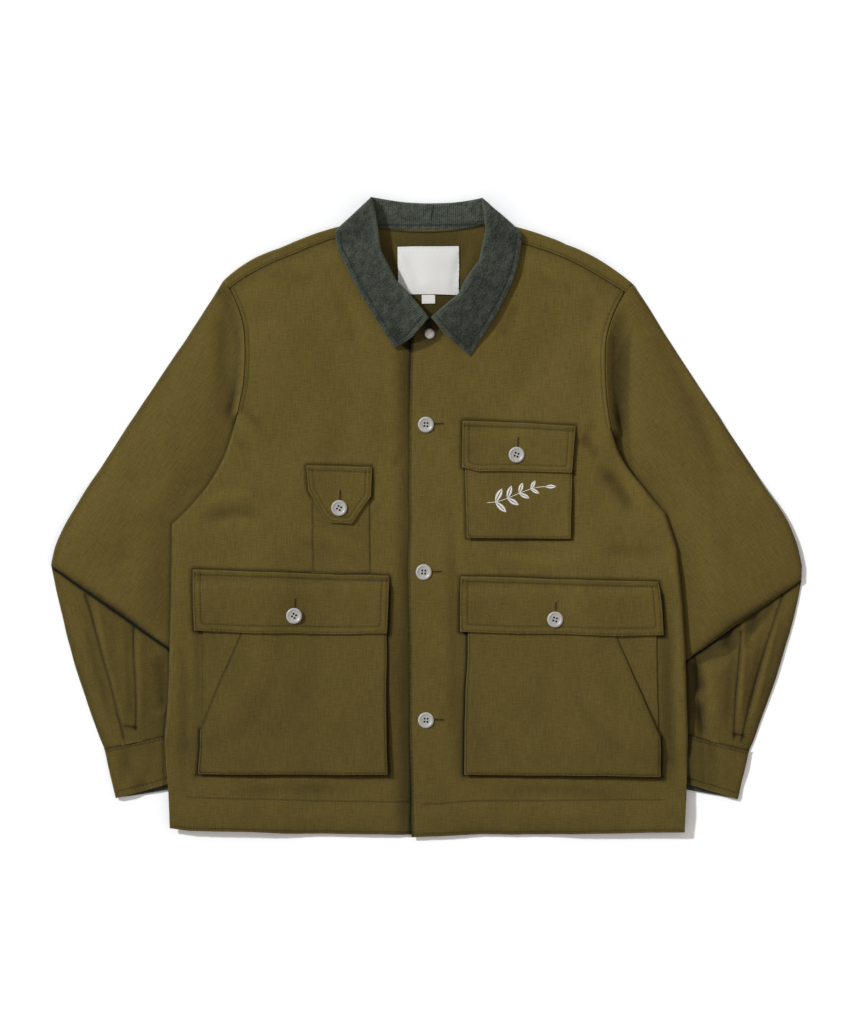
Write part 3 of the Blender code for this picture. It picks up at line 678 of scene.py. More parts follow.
def creased(plan: Array, creases: Iterable[Crease]) -> Array:
    """The sum of the creases' heights at each point.

    Args:
        plan: the points.
        creases: the ridges and troughs.

    Returns:
        The height at each point.
    """
    total = np.zeros(len(plan))
    for crease in creases:
        start = np.array((crease.x0, crease.y0))
        chord = np.array((crease.x1, crease.y1)) - start
        length = float(np.hypot(*chord))
        way = chord / length
        offset = plan - start
        share = offset @ way / length
        across = offset @ np.array((-way[1], way[0])) - crease.bow * 4.0 * share * (1.0 - share)
        taper = smoothstep(share / CREASE_TAPER) * smoothstep((1.0 - share) / CREASE_TAPER)
        total += crease.height * taper * np.exp(-((across / crease.width) ** 2))
    return total


class Signal:
    """A socket of a material's graph, so that shader maths is written as Python expressions."""

    def __init__(self, graph: Graph, socket: bpy.types.NodeSocket) -> None:
        """Wraps the socket."""
        self.graph = graph
        self.socket = socket

    def _math(self, operation: str, first: Signal | float, second: Signal | float) -> Signal:
        """A Math node of the operation on two values."""
        node = self.graph.node("ShaderNodeMath", {0: first, 1: second}, operation=operation)
        return self.graph.signal(node)

    def __add__(self, other: Signal | float) -> Signal:
        """The sum."""
        return self._math("ADD", self, other)

    def __radd__(self, other: Signal | float) -> Signal:
        """The sum with a number before it."""
        return self._math("ADD", other, self)

    def __sub__(self, other: Signal | float) -> Signal:
        """The difference."""
        return self._math("SUBTRACT", self, other)

    def __rsub__(self, other: Signal | float) -> Signal:
        """The difference from a number."""
        return self._math("SUBTRACT", other, self)

    def __mul__(self, other: Signal | float) -> Signal:
        """The product."""
        return self._math("MULTIPLY", self, other)

    def __rmul__(self, other: Signal | float) -> Signal:
        """The product with a number before it."""
        return self._math("MULTIPLY", other, self)

    def __truediv__(self, other: Signal | float) -> Signal:
        """The quotient."""
        return self._math("DIVIDE", self, other)

    def wave(self, period: float) -> Signal:
        """A sine of the value, from -1 to 1, of a period."""
        return self._math("SINE", self * (2.0 * math.pi / period), 0.0)

    def above(self) -> Signal:
        """The value where it is above 0, and 0 elsewhere."""
        return self._math("MAXIMUM", self, 0.0)


class Graph:
    """A material and its nodes."""

    def __init__(self, name: str) -> None:
        """Makes the material with one Principled shader.

        Args:
            name: the material's name.
        """
        self.material = bpy.data.materials.new(name)
        self.material.use_nodes = True
        self.tree = self.material.node_tree
        self.shader = self.tree.nodes["Principled BSDF"]

    def signal(self, node: bpy.types.Node, output: str | int = 0) -> Signal:
        """An output of a node as a signal."""
        return Signal(self, node.outputs[output])

    def node(self, kind: str, inputs: dict[str | int, Any] | None = None, **settings: Any) -> bpy.types.Node:
        """Adds a node.

        Args:
            kind: the node's type.
            inputs: the value or the signal for each socket that is set.
            settings: the node's own settings, which are set first.

        Returns:
            The node.
        """
        node = self.tree.nodes.new(kind)
        for setting, value in settings.items():
            setattr(node, setting, value)
        for socket, value in (inputs or {}).items():
            self.feed(node.inputs[socket], value)
        return node

    def feed(self, socket: bpy.types.NodeSocket, value: Any) -> None:
        """Links a signal to a socket, or sets its own value.

        Args:
            socket: the socket to feed.
            value: the signal, or the value.
        """
        if isinstance(value, Signal):
            self.tree.links.new(value.socket, socket)
        else:
            socket.default_value = value

    def cloth_plan(self) -> tuple[Signal, Signal]:
        """Where a point lies on the cloth.

        Returns:
            The millimetres across the grain and along it.
        """
        place = self.signal(self.node("ShaderNodeUVMap", uv_map=CLOTH_UV))
        split = self.node("ShaderNodeSeparateXYZ", {0: place})
        return self.signal(split, "X") * (1.0 / MM), self.signal(split, "Y") * (1.0 / MM)

    def speckle(self, across: Signal, along: Signal, size: float, stretch: float = 1.0) -> Signal:
        """Noise over the cloth, from about -1 to 1.

        Args:
            across: the first coordinate, in millimetres.
            along: the second coordinate, in millimetres.
            size: the size of its grains.
            stretch: how much longer they are along than across.

        Returns:
            The noise.
        """
        place = self.node("ShaderNodeCombineXYZ", {0: across / size, 1: along / (size * stretch)})
        noise = self.node("ShaderNodeTexNoise", {"Vector": self.signal(place), "Scale": 1.0, "Detail": 2.0})
        return (self.signal(noise, "Factor" if "Factor" in noise.outputs else "Fac") - 0.5) * 4.0

    def mixed(self, factor: Signal, first: Signal | Sequence[float], second: Sequence[float]) -> Signal:
        """A colour between two colours.

        Args:
            factor: 0 for the first colour, and 1 for the second.
            first: the first colour.
            second: the second colour.

        Returns:
            The mixed colour.
        """
        start = first if isinstance(first, Signal) else (*first, 1.0)
        node = self.node(
            "ShaderNodeMix", {0: factor, 6: start, 7: (*second, 1.0)}, data_type="RGBA", clamp_factor=True,
        )
        return self.signal(node, 2)

    def bump(self, height: Signal, depth: float) -> Signal:
        """A normal bent by a height of about 1 that stands for so many millimetres."""
        node = self.node("ShaderNodeBump", {"Height": height, "Distance": depth * MM, "Strength": 1.0})
        return self.signal(node)


CLOTH_UV = "cloth"
# The attribute of wear and painted light: above 0 it pales the cloth, as wear and as painted highlight; below
# 0 it paints shade.
WEAR_AND_SHADE = "worn"


@dataclass(frozen=True)
class Finish:
    """A finish. Its material is made once."""

    name: str
    slot: str
    dark: tuple[float, float, float]
    light: tuple[float, float, float]
    roughness: float = 0.9
    sheen: float = 0.0
    specular: float = 0.15

    def material(self) -> bpy.types.Material:
        """The finish's material.

        Returns:
            The material, with its nodes.
        """
        made = bpy.data.materials.get(self.name)
        if made:
            return made
        graph = Graph(self.name)
        graph.shader.inputs["Roughness"].default_value = self.roughness
        graph.shader.inputs["Sheen Weight"].default_value = self.sheen
        graph.shader.inputs["Specular IOR Level"].default_value = self.specular
        self.dress(graph)
        return graph.material

    def dress(self, graph: Graph) -> None:
        """Builds the colour and the relief of the finish.

        Args:
            graph: the material's graph.
        """
        across, along = graph.cloth_plan()
        graph.feed(graph.shader.inputs["Base Color"], graph.mixed(
            graph.speckle(across, along, 4.0) * 0.3 + 0.5, self.dark, self.light))


@dataclass(frozen=True)
class Twill(Finish):
    """Cotton twill: diagonal wales, warp slubs, edges paled by wear and painted highlight, painted shade."""

    wale: float = 0.9
    sheen: float = 0.04

    def dress(self, graph: Graph) -> None:
        """Weaves the diagonal, fades it in patches, pales edges with wear and painted light, paints shade.

        Args:
            graph: the material's graph.
        """
        across, along = graph.cloth_plan()
        wales = (across * 0.88 + along * 0.48).wave(self.wale)
        picks = (across * 0.3 - along).wave(self.wale * 0.8)
        slub = graph.speckle(across, along, 1.3, 14.0)
        weft = graph.speckle(across, along, 12.0, 0.1)
        fade = graph.speckle(across, along, 45.0, 1.5)
        grain = graph.speckle(across, along, 1.3)
        worn = graph.signal(graph.node("ShaderNodeAttribute", attribute_name=WEAR_AND_SHADE), "Fac")
        threads = 0.5 + wales * 0.13 + slub * 0.21 + weft * 0.19
        # Above 0 the attribute pales the cloth, as wear on the edges and as painted light on edges and
        # ridges.
        tone = threads + fade * 0.09 + grain * 0.24 + worn.above() * 0.32
        faded = graph.mixed(tone, self.dark, self.light)
        # Below 0 it mixes the colour towards near black, as painted shade.
        deep = (0.0 - worn).above() * 0.42
        graph.feed(graph.shader.inputs["Base Color"], graph.mixed(deep, faded, shade(self.dark, 0.12)))
        graph.feed(graph.shader.inputs["Normal"], graph.bump(wales * 0.6 + picks * 0.3 + slub * 0.4, 0.035))


@dataclass(frozen=True)
class Needlecord(Finish):
    """Needlecord: raised wales with a soft nap, edges paled by wear and painted highlight, painted shade."""

    wale: float = 2.3
    sheen: float = 0.03

    def dress(self, graph: Graph) -> None:
        """Raises the wales, and brushes the nap along them.

        Args:
            graph: the material's graph.
        """
        across, along = graph.cloth_plan()
        wander = graph.speckle(across, along, 9.0) * 0.12
        wales = (across + wander).wave(self.wale)
        nap = graph.speckle(across, along, 2.0, 1.1)
        patches = graph.speckle(across, along, 9.0)
        worn = graph.signal(graph.node("ShaderNodeAttribute", attribute_name=WEAR_AND_SHADE), "Fac")
        # The attribute pales the cloth above 0, as wear and painted light, and darkens it below 0, as painted
        # shade.
        tone = 0.44 + wales * 0.09 + nap * 0.36 + patches * 0.34 + worn * 0.6
        graph.feed(graph.shader.inputs["Base Color"], graph.mixed(tone, self.dark, self.light))
        graph.feed(graph.shader.inputs["Normal"], graph.bump(wales * 0.3 + nap * 0.6 + patches * 1.6, 0.6))


@dataclass(frozen=True)
class Satin(Finish):
    """A woven label: close satin ribs."""

    rib: float = 0.7

    def dress(self, graph: Graph) -> None:
        """Draws the ribs.

        Args:
            graph: the material's graph.
        """
        across, along = graph.cloth_plan()
        ribs = along.wave(self.rib)
        tone = 0.5 + ribs * 0.15 + graph.speckle(across, along, 1.5, 0.2) * 0.1
        graph.feed(graph.shader.inputs["Base Color"], graph.mixed(tone, self.dark, self.light))
        graph.feed(graph.shader.inputs["Normal"], graph.bump(ribs, 0.03))


@dataclass(frozen=True)
class Solid(Finish):
    """A moulded, stamped or spun finish that its own coordinates colour."""

    metallic: float = 0.0
    grain: float = 2.0
    relief: float = 0.01

    def dress(self, graph: Graph) -> None:
        """Clouds the colour, and pits the surface a little.

        Args:
            graph: the material's graph.
        """
        graph.shader.inputs["Metallic"].default_value = self.metallic
        place = graph.signal(graph.node("ShaderNodeTexCoord"), "Object")
        settings = {"Vector": place, "Scale": 1.0 / (self.grain * MM), "Detail": 3.0}
        clouds = graph.node("ShaderNodeTexNoise", settings)
        tone = (graph.signal(clouds) - 0.5) * 1.2 + 0.5
        graph.feed(graph.shader.inputs["Base Color"], graph.mixed(tone, self.dark, self.light))
        graph.feed(graph.shader.inputs["Normal"], graph.bump(tone, self.relief))


def shade(colour: Sequence[float], share: float) -> tuple[float, float, float]:
    """A colour made darker or lighter by a share."""
    red, green, blue = (min(1.0, channel * share) for channel in colour)
    return red, green, blue


OLIVE = (0.108, 0.0768, 0.0160)
MOSS = (0.0410, 0.0475, 0.0370)


def twill(name: str, tone: float = 1.0) -> Twill:
    """The jacket's twill, darker or lighter by a tone."""
    return Twill(f"twill_{name}", "twill", shade(OLIVE, 0.62 * tone), shade(OLIVE, 1.38 * tone))


BODY_TWILL = twill("body")
# The sleeves, pockets, forearms and cuffs take darker copies of the twill: partly the cloth's own tone,
# partly painted shade.
SLEEVE_TWILL = twill("sleeve", 0.96)
POCKET_TWILL = twill("pocket", 0.93)
CUFF_TWILL = twill("cuff", 0.89)
# The band is the leaves' needlecord painted lighter: painted light.
BAND_CORD = Needlecord("band_cord", "needlecord", shade(MOSS, 0.8), shade(MOSS, 2.2), roughness=0.95)
CORD = Needlecord("collar_cord", "needlecord", shade(MOSS, 0.55), shade(MOSS, 1.6), roughness=0.95)
LABEL_SATIN = Satin("label_satin", "label", (0.57, 0.56, 0.53), (0.84, 0.83, 0.80), roughness=0.7)
BUTTON_RESIN = Solid(
    "button_resin", "button", (0.29, 0.278, 0.257), (0.44, 0.422, 0.392), roughness=0.38, specular=0.5,
    grain=5.0,
)
SNAP_STEEL = Solid("snap_steel", "snap", (0.42, 0.40, 0.38), (0.62, 0.59, 0.56), roughness=0.42, metallic=0.6)
OLIVE_THREAD = Solid(
    "thread_olive", "twill", shade(OLIVE, 0.75), shade(OLIVE, 1.35), roughness=0.7, grain=1.0,
)
# Dark thread for the buttons' shanks; it also lays the dark strip of painted shade in each buttonhole's slit.
DARK_THREAD_AND_SHADE = Solid("thread_dark", "twill", shade(OLIVE, 0.2), shade(OLIVE, 0.4), roughness=0.8, grain=1.0)
CORD_THREAD = Solid(
    "thread_cord", "needlecord", shade(MOSS, 0.8), shade(MOSS, 1.5), roughness=0.7, grain=1.0,
)
WHITE_THREAD = Solid(
    "thread_white", "label", (0.62, 0.60, 0.56), (0.86, 0.84, 0.80), roughness=0.6, grain=0.6,
)


def finished(name: str, shape: bmesh.types.BMesh, finish: Finish, sharp: float = 50.0) -> bpy.types.Object:
    """Turns a shape in millimetres into a piece that rides on the jacket.

    Args:
        name: the piece's name.
        shape: the shape, which is used up.
        finish: what it is made of.
        sharp: the angle, in degrees, past which an edge is drawn sharp.

    Returns:
        The piece.
    """
    bmesh.ops.scale(shape, vec=(MM, MM, MM), verts=shape.verts)
    data = bpy.data.meshes.new(name)
    shape.to_mesh(data)
    shape.free()
    data.shade_smooth()
    data.set_sharp_from_angle(angle=math.radians(sharp))
    data.materials.append(finish.material())
    piece = bpy.data.objects.new(name, data)
    bpy.context.scene.collection.objects.link(piece)
    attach(piece, "root")
    return piece


def drift(plan: Array) -> Array:
    """Where the cloth has crept to: no edge or seam lies quite straight."""
    return plan + np.column_stack([bend(plan) + twist(plan) for bend, twist in CREEP])


def crept(piece: bpy.types.Object) -> bpy.types.Object:
    """Moves a piece's points in plan as the cloth has crept.

    Args:
        piece: the piece, which is changed.

    Returns:
        The same piece.
    """
    data = piece.data
    points = np.empty(3 * len(data.vertices))
    data.vertices.foreach_get("co", points)
    points = points.reshape(-1, 3)
    points[:, :2] = drift(points[:, :2] / MM) * MM
    data.vertices.foreach_set("co", points.ravel())
    data.update()
    return piece


def triangles(piece: bpy.types.Object) -> int:
    """How many triangles a piece has, with its modifiers.

    Args:
        piece: the piece.

    Returns:
        The number of its triangles.
    """
    shown = piece.evaluated_get(bpy.context.evaluated_depsgraph_get())
    mesh = shown.to_mesh()
    mesh.calc_loop_triangles()
    count = len(mesh.loop_triangles)
    shown.to_mesh_clear()
    return count


def report(piece: bpy.types.Object) -> bpy.types.Object:
    """Logs a piece and its triangles, and gives it back."""
    LOG.info("%s: %d triangles", piece.name, triangles(piece))
    return piece


class Stitching:
    """Short threads on cloth, joined as one mesh."""

    LENGTH = 2.5
    STEP = 3.5
    WIDTH = 0.6
    THICKNESS = 0.5
    RAISED = 0.12  # the share of its thickness that a thread's middle lies over the cloth

    def __init__(self, name: str, finish: Finish = OLIVE_THREAD) -> None:
        """Starts with no threads.

        Args:
            name: the piece's name.
            finish: what the thread is made of.
        """
        self.name = name
        self.finish = finish
        self.threads: list[Array] = []

    def lay(
        self, points: Array, ways: Array, surface: Height, length: float | Array, width: float = WIDTH,
    ) -> None:
        """Lays threads on a surface.

        Args:
            points: the middle of each thread, in plan.
            ways: the direction of each, in plan.
            surface: the surface that they lie on.
            length: their length, or the length of each.
            width: their width.
        """
        half = np.broadcast_to(np.asarray(length, float), (len(points),))[:, None] / 2.0
        start, end = points - ways * half, points + ways * half
        low, high = surface(start), surface(end)
        middle = np.column_stack((points, (low + high) / 2.0 + self.RAISED * self.THICKNESS))
        along = np.column_stack((end - start, high - low))
        across = np.column_stack((-ways[:, 1], ways[:, 0], np.zeros(len(ways)))) * width
        up = np.tile((0.0, 0.0, self.THICKNESS), (len(points), 1))
        self.threads.append(np.stack((along, across, up, middle), axis=1))

    def run(self, line: Line, surface: Height) -> None:
        """Lays a row of stitches along a line."""
        points, ways = line.spaced(self.STEP)
        self.lay(points, ways, surface, self.LENGTH)

    def build(self) -> bpy.types.Object:
        """Joins the threads as one piece.

        Returns:
            The piece.
        """
        thread = bmesh.new()
        bmesh.ops.create_icosphere(thread, subdivisions=1, radius=0.5)
        form = np.array([vert.co for vert in thread.verts])
        faces = np.array([[vert.index for vert in face.verts] for face in thread.faces])
        thread.free()
        frames = np.concatenate(self.threads)
        points = np.einsum("pk,nkc->npc", form, frames[:, :3]) + frames[:, 3:]
        joined = faces[None] + np.arange(len(frames))[:, None, None] * len(form)
        data = bpy.data.meshes.new(self.name)
        data.from_pydata(points.reshape(-1, 3), [], joined.reshape(-1, 3).tolist())
        shape = bmesh.new()
        shape.from_mesh(data)
        bpy.data.meshes.remove(data)
        return report(crept(finished(self.name, shape, self.finish, sharp=180.0)))


@dataclass
class Seam:
    """A stitched line on a panel, with the puckers that it draws in the cloth."""

    line: Line
    pucker: float = 0.12
    reach: float = 3.5
    groove: float = 0.35
    stitched: bool = True
    seed: int = 1
    wavelength: float = 5.5
    # How dark the seam's line is painted and how far the dark spreads: painted shade, with dirt where it is
    # stitched.
    shade: float = 1.2
    spread: float = 0.8

    GROOVE_WIDTH = 0.8

    @classmethod
    def painted(cls, line: Line, tone: Shade) -> Seam:
        """A painted shade along a line, with no stitches and no puckers.

        Args:
            line: the line.
            tone: how dark and how deep it is.

        Returns:
            The painted shade, as a seam.
        """
        return cls(
            line, pucker=0.0, groove=tone.groove, stitched=False, shade=tone.dark, spread=tone.spread,
        )

    def relief(self, plan: Array) -> Array:
        """The puckers and the groove of the stitches.

        Args:
            plan: the points.

        Returns:
            Their heights.
        """
        distance, along = self.line.near(plan)
        at = np.column_stack((along, np.full(len(plan), 7.3 * self.seed)))
        phase = Undulation(self.seed, 31.0, 2.6)(at)
        strength = 0.65 + Undulation(self.seed + 50, 23.0, 0.5)(at)
        puckers = self.pucker * strength * np.cos(2.0 * math.pi * along / self.wavelength + phase)
        groove = self.groove * np.exp(-((distance / self.GROOVE_WIDTH) ** 2))
        return puckers * np.exp(-((distance / self.reach) ** 2)) - groove


@dataclass
class Fold:
    """An edge where the cloth turns down to the layer under it."""

    line: Line
    radius: float = 2.8
    lip: float = 1.0


@dataclass
class Panel:
    """A flat piece of cloth that follows what lies under it.

    Args:
        name: its name.
        outline: its outline in plan.
        top: how high its upper face lies, before its edges and seams.
        finish: what it is made of.
        stands_for: the solids that it replaces.
        rests_on: what it lies on.
    """

    name: str
    outline: Line
    top: Height
    finish: Finish
    stands_for: tuple[str, ...]
    rests_on: tuple[str, ...] = ("floor",)
    thickness: float = TWILL
    pitch: float = 3.0
    edge_radius: float = 0.75
    seams: list[Seam] = field(default_factory=list)
    folds: list[Fold] = field(default_factory=list)
    under: Height | None = None
    grain: float = 0.0
    layers: int = 1
    thread: Finish = OLIVE_THREAD
    pale_band: float = 0.0
    # Lines along which a shade is painted, beside an edge that is turned under or lies over another layer.
    turned: list[Line] = field(default_factory=list)
    # The painted shade of the upper face's hollows and painted light of its ridges, set when the panel is
    # raised.
    hollows: Hollows | None = None
    # How far the edge is paled, partly as wear and partly as painted highlight; below 0 a shade is painted
    # along it.
    rim: float = 1.0
    # Outlines inside which a shadow is painted, and how dark.
    deeps: list[tuple[Line, float]] = field(default_factory=list)

    EDGE_RINGS = (0.25, 0.7, 1.6)
    FOLD_ROWS = (0.3, 0.6, 0.9, 1.2)  # shares of a fold's radius
    SEAM_ROWS = (-1.5, -0.7, 0.0, 0.7, 1.5)
    DEEP_ROWS = (-1.2, 0.0, 1.2)
    ROW_STEP = 2.5
    THINNEST = 0.05
    RIM_WIDTH = 0.9
    DEEP_RAMP = 2.4
    PALE = 0.5
    LOW_STARTS = 80.0
    LOW_RUN = 400.0

    def upper(self, plan: Array) -> Array:
        """The height of the finished upper face.

        Args:
            plan: the points.

        Returns:
            Their heights.
        """
        height = self.top(plan)
        for seam in self.seams:
            height += seam.relief(plan)
        drop = rolled(self.outline.near(plan)[0], self.edge_radius)
        for fold in self.folds:
            drop = np.maximum(drop, rolled(fold.line.near(plan)[0], fold.radius))
        return height - drop

    def lower(self, plan: Array) -> Array:
        """The height of the under face.

        Args:
            plan: the points.

        Returns:
            Their heights.
        """
        if self.under:
            return self.under(plan)
        drop = np.zeros(len(plan))
        for fold in self.folds:
            within = fold.line.near(plan)[0] - self.thickness
            lip = fold.lip * (1.0 - smoothstep(within + 0.5))
            drop = np.maximum(drop, rolled(np.maximum(within, 0.0), fold.radius - self.thickness) + lip)
        return self.top(plan) - self.thickness - drop

    def plan_points(self) -> Array:
        """The points inside the outline that the mesh is drawn through.

        Returns:
            The points.
        """
        rings = [self.outline.inset(distance) for distance in self.EDGE_RINGS]
        for fold in self.folds:
            rings += [fold.line.inset(share * fold.radius) for share in self.FOLD_ROWS]
        rowed = [(seam.line, self.SEAM_ROWS) for seam in self.seams]
        rowed += [(deep, self.DEEP_ROWS) for deep, _ in self.deeps]
        rows = [line.inset(offset).spaced(self.ROW_STEP)[0] for line, offsets in rowed for offset in offsets]
        near = [self.outline.near(ring.points)[0] for ring in rings]
        kept = [ring.points[gap > 0.9 * self.EDGE_RINGS[0]] for ring, gap in zip(rings, near)]
        low, high = self.outline.points.min(0), self.outline.points.max(0)
        rise = self.pitch * math.sqrt(0.75)
        columns, lines = np.ceil((high - low) / (self.pitch, rise)).astype(int)
        cells = np.stack(np.meshgrid(np.arange(columns), np.arange(lines)), axis=-1)
        grid = cells.reshape(-1, 2).astype(float)
        grid[:, 0] += 0.5 * (grid[:, 1] % 2)
        lattice = low + grid * (self.pitch, rise)
        clear = self.outline.near(lattice)[0] > self.EDGE_RINGS[-1] + 0.5 * self.pitch
        for seam in self.seams:
            clear &= seam.line.near(lattice)[0] > self.SEAM_ROWS[-1] + 0.4 * self.pitch
        found = np.vstack([*kept, *rows, lattice[clear]])
        return found[self.outline.inside(found)]

    def drawn(self) -> bmesh.types.BMesh:
        """The panel's plan as a flat mesh.

        Returns:
            The mesh.
        """
        edge = self.outline.points
        points = np.vstack((edge, self.plan_points()))
        loop = [(index, (index + 1) % len(edge)) for index in range(len(edge))]
        verts, _, faces, *_ = delaunay_2d_cdt([Vector(point) for point in points], loop, [], 1, 1e-3)
        shape = bmesh.new()
        made = [shape.verts.new((point.x, point.y, 0.0)) for point in verts]
        for face in faces:
            shape.faces.new([made[index] for index in face])
        bmesh.ops.recalc_face_normals(shape, faces=shape.faces)
        return shape

    def raised(self) -> bmesh.types.BMesh:
        """The panel as a closed wall of cloth.

        Returns:
            The mesh.
        """
        shape = self.drawn()
        rank = shape.verts.layers.int.new("rank")
        plan = np.array([vert.co[:2] for vert in shape.verts])
        for index, vert in enumerate(shape.verts):
            vert[rank] = index
        top, bottom = self.upper(plan), self.lower(plan)
        self.hollows = Hollows(plan, top)
        extruded = bmesh.ops.extrude_face_region(shape, geom=shape.faces[:])["geom"]
        lifted = {item for item in extruded if isinstance(item, bmesh.types.BMVert)}
        bottom = np.minimum(bottom, top - self.THINNEST)
        for vert in shape.verts:
            vert.co.z = (top if vert in lifted else bottom)[vert[rank]]
        bmesh.ops.recalc_face_normals(shape, faces=shape.faces)
        return shape

    def dress(self, piece: bpy.types.Object) -> None:
        """Gives the mesh its place on the cloth, and marks its wear, its painted light and its painted shade.

        Args:
            piece: the panel's piece.
        """
        data = piece.data
        points = np.empty(3 * len(data.vertices))
        data.vertices.foreach_get("co", points)
        plan = points.reshape(-1, 3)[:, :2] / MM
        edge = self.outline.near(plan)[0]
        # The rim pales the edges, as wear and as painted highlight; hollows take painted shade and ridges
        # painted light.
        worn = self.rim * np.exp(-((edge / self.RIM_WIDTH) ** 2)) - self.hollows.shade(plan)
        worn -= LOW_SHADE * smoothstep((self.LOW_STARTS - plan[:, 1]) / self.LOW_RUN)
        if self.pale_band:
            worn += self.PALE * (1.0 - smoothstep((edge - self.pale_band + 1.0) / 2.0))
        # A dark line along each seam: painted shade, with dirt where it is stitched.
        for seam in self.seams:
            worn -= seam.shade * np.exp(-((seam.line.near(plan)[0] / seam.spread) ** 2))
        # A shadow painted inside each deep outline.
        for deep, dark in self.deeps:
            within = deep.near(plan)[0] * np.where(deep.inside(plan), 1.0, -1.0)
            worn -= dark * smoothstep(0.5 + within / self.DEEP_RAMP)
        # Shade painted along each turned edge.
        for line in self.turned:
            worn -= TURNED_EDGE.dark * np.exp(-((line.near(plan)[0] / TURNED_EDGE.spread) ** 2))
        data.attributes.new(WEAR_AND_SHADE, "FLOAT", "POINT").data.foreach_set("value", worn)
        on_cloth = plan @ rotation(math.radians(self.grain))
        corners = np.empty(len(data.loops), int)
        data.loops.foreach_get("vertex_index", corners)
        data.uv_layers.new(name=CLOTH_UV).data.foreach_set("uv", (on_cloth[corners] * MM).ravel())

    def cut_size(self) -> tuple[tuple[float, float], float]:
        """The cloth's flat size.

        Returns:
            The width and length of the smallest rectangle that holds it, and its area, in metres.
        """
        turned = [self.outline.points @ rotation(turn) for turn in np.radians(np.arange(90.0))]
        sizes = [np.ptp(points, axis=0) * MM for points in turned]
        width, length = sorted(map(float, min(sizes, key=np.prod)))
        return (width * self.layers, length), self.outline.area * MM * MM * self.layers

    def build(self, trims: Iterable[bpy.types.Object] = ()) -> bpy.types.Object:
        """Makes the panel with its stitches, and works out its cut.

        Args:
            trims: the pieces that are sewn on it, beside its own stitches; not used.

        Returns:
            The piece.
        """
        piece = self.shaped()
        self.dress(piece)
        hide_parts(*self.stands_for)
        report(crept(piece))
        sewn = [seam for seam in self.seams if seam.stitched]
        if sewn:
            stitching = Stitching(f"stitching_{self.name}", self.thread)
            for seam in sewn:
                stitching.run(seam.line, self.upper)
            stitching.build()
        flat, area = self.cut_size()
        list(self.rests_on)
        return piece

    def shaped(self) -> bpy.types.Object:
        """The panel's mesh as a piece."""
        return finished(f"{self.name}_cloth", self.raised(), self.finish)


@dataclass
class Tube(Panel):
    """A flat tube of cloth, open where it meets another piece."""

    mouths: list[Line] = field(default_factory=list)
    layers: int = 2

    APART = 0.1  # how far apart the walls' cloth stays
    APART_RUN = 4.0

    def upper(self, plan: Array) -> Array:
        """The upper wall, whose cloth never comes down through the under one.

        Args:
            plan: the points.

        Returns:
            Their heights.
        """
        within = smoothstep(self.outline.near(plan)[0] / self.APART_RUN)
        lowest = self.lower(plan) + self.THINNEST + (TWILL + self.APART) * within
        return np.maximum(super().upper(plan), lowest)

    def lower(self, plan: Array) -> Array:
        """The under wall lies on what is under the tube, and turns up at the folds.

        Args:
            plan: the points.

        Returns:
            Their heights.
        """
        drop = np.zeros(len(plan))
        for fold in self.folds:
            drop = np.maximum(drop, rolled(fold.line.near(plan)[0], TWILL))
        return self.under(plan) + drop

    def shaped(self) -> bpy.types.Object:
        """The tube's mesh, with its wall inside it.

        Returns:
            The piece.
        """
        shape = self.raised()
        rank = shape.verts.layers.int["rank"]
        walls = [face for face in shape.faces if len({vert[rank] for vert in face.verts}) == 2]
        middles = np.array([face.calc_center_median()[:2] for face in walls])
        mouth = np.zeros(len(walls), bool)
        for line in self.mouths:
            mouth |= line.near(middles)[0] < 0.05
        opened = [face for face, is_open in zip(walls, mouth) if is_open]
        bmesh.ops.delete(shape, geom=opened, context="FACES_ONLY")
        piece = finished(f"{self.name}_cloth", shape, self.finish)
        wall = piece.modifiers.new("wall", "SOLIDIFY")
        wall.thickness = TWILL * MM
        wall.offset = -1.0
        wall.thickness_clamp = 1.0
        return piece


class Hollows:
    """Painted shade in a face's hollows and painted light on its ridges, from the heights around each point.
    """

    STEP = 3.5
    SPREADS = 5
    DARK = 0.95
    LIGHT = 0.4

    def __init__(self, plan: Array, height: Array) -> None:
        """Sets the heights on a grid, and takes from each the mean around it.

        Args:
            plan: the points.
            height: the height at each.
        """
        margin = self.SPREADS + 2
        self.low = plan.min(0) - self.STEP * margin
        place = ((plan - self.low) / self.STEP).round().astype(int)
        size = tuple(place.max(0) + margin + 1)
        total, count = np.zeros(size), np.zeros(size)
        np.add.at(total, tuple(place.T), height)
        np.add.at(count, tuple(place.T), 1.0)
        own = total / np.maximum(count, 1.0)
        there = (count > 0.0).astype(float)
        around, weight = own * there, there
        softened = []
        for _ in range(self.SPREADS):
            for axis in (0, 1):
                around = around + np.roll(around, 1, axis) + np.roll(around, -1, axis)
                weight = weight + np.roll(weight, 1, axis) + np.roll(weight, -1, axis)
            softened.append(around / np.maximum(weight, TINY))
        self.table = there * (softened[-1] - softened[0])

    def shade(self, plan: Array) -> Array:
        """How much shade is painted at each point; below 0, how much light is painted on a ridge."""
        depth = between(self.table, (plan - self.low) / self.STEP)
        return self.DARK * np.maximum(depth, 0.0) + self.LIGHT * np.minimum(depth, 0.0)


def between(table: Array, cell: Array) -> Array:
    """A table's values between its points.

    Args:
        table: values on a grid.
        cell: where each point lies, in steps of the grid.

    Returns:
        The value at each point.
    """
    cell = np.clip(cell, 0.0, np.array(table.shape) - 1.001)
    low = cell.astype(int)
    x, y = (cell - low).T
    column, row = low.T
    near = table[column, row] * (1 - x) + table[column + 1, row] * x
    far = table[column, row + 1] * (1 - x) + table[column + 1, row + 1] * x
    return near * (1 - y) + far * y


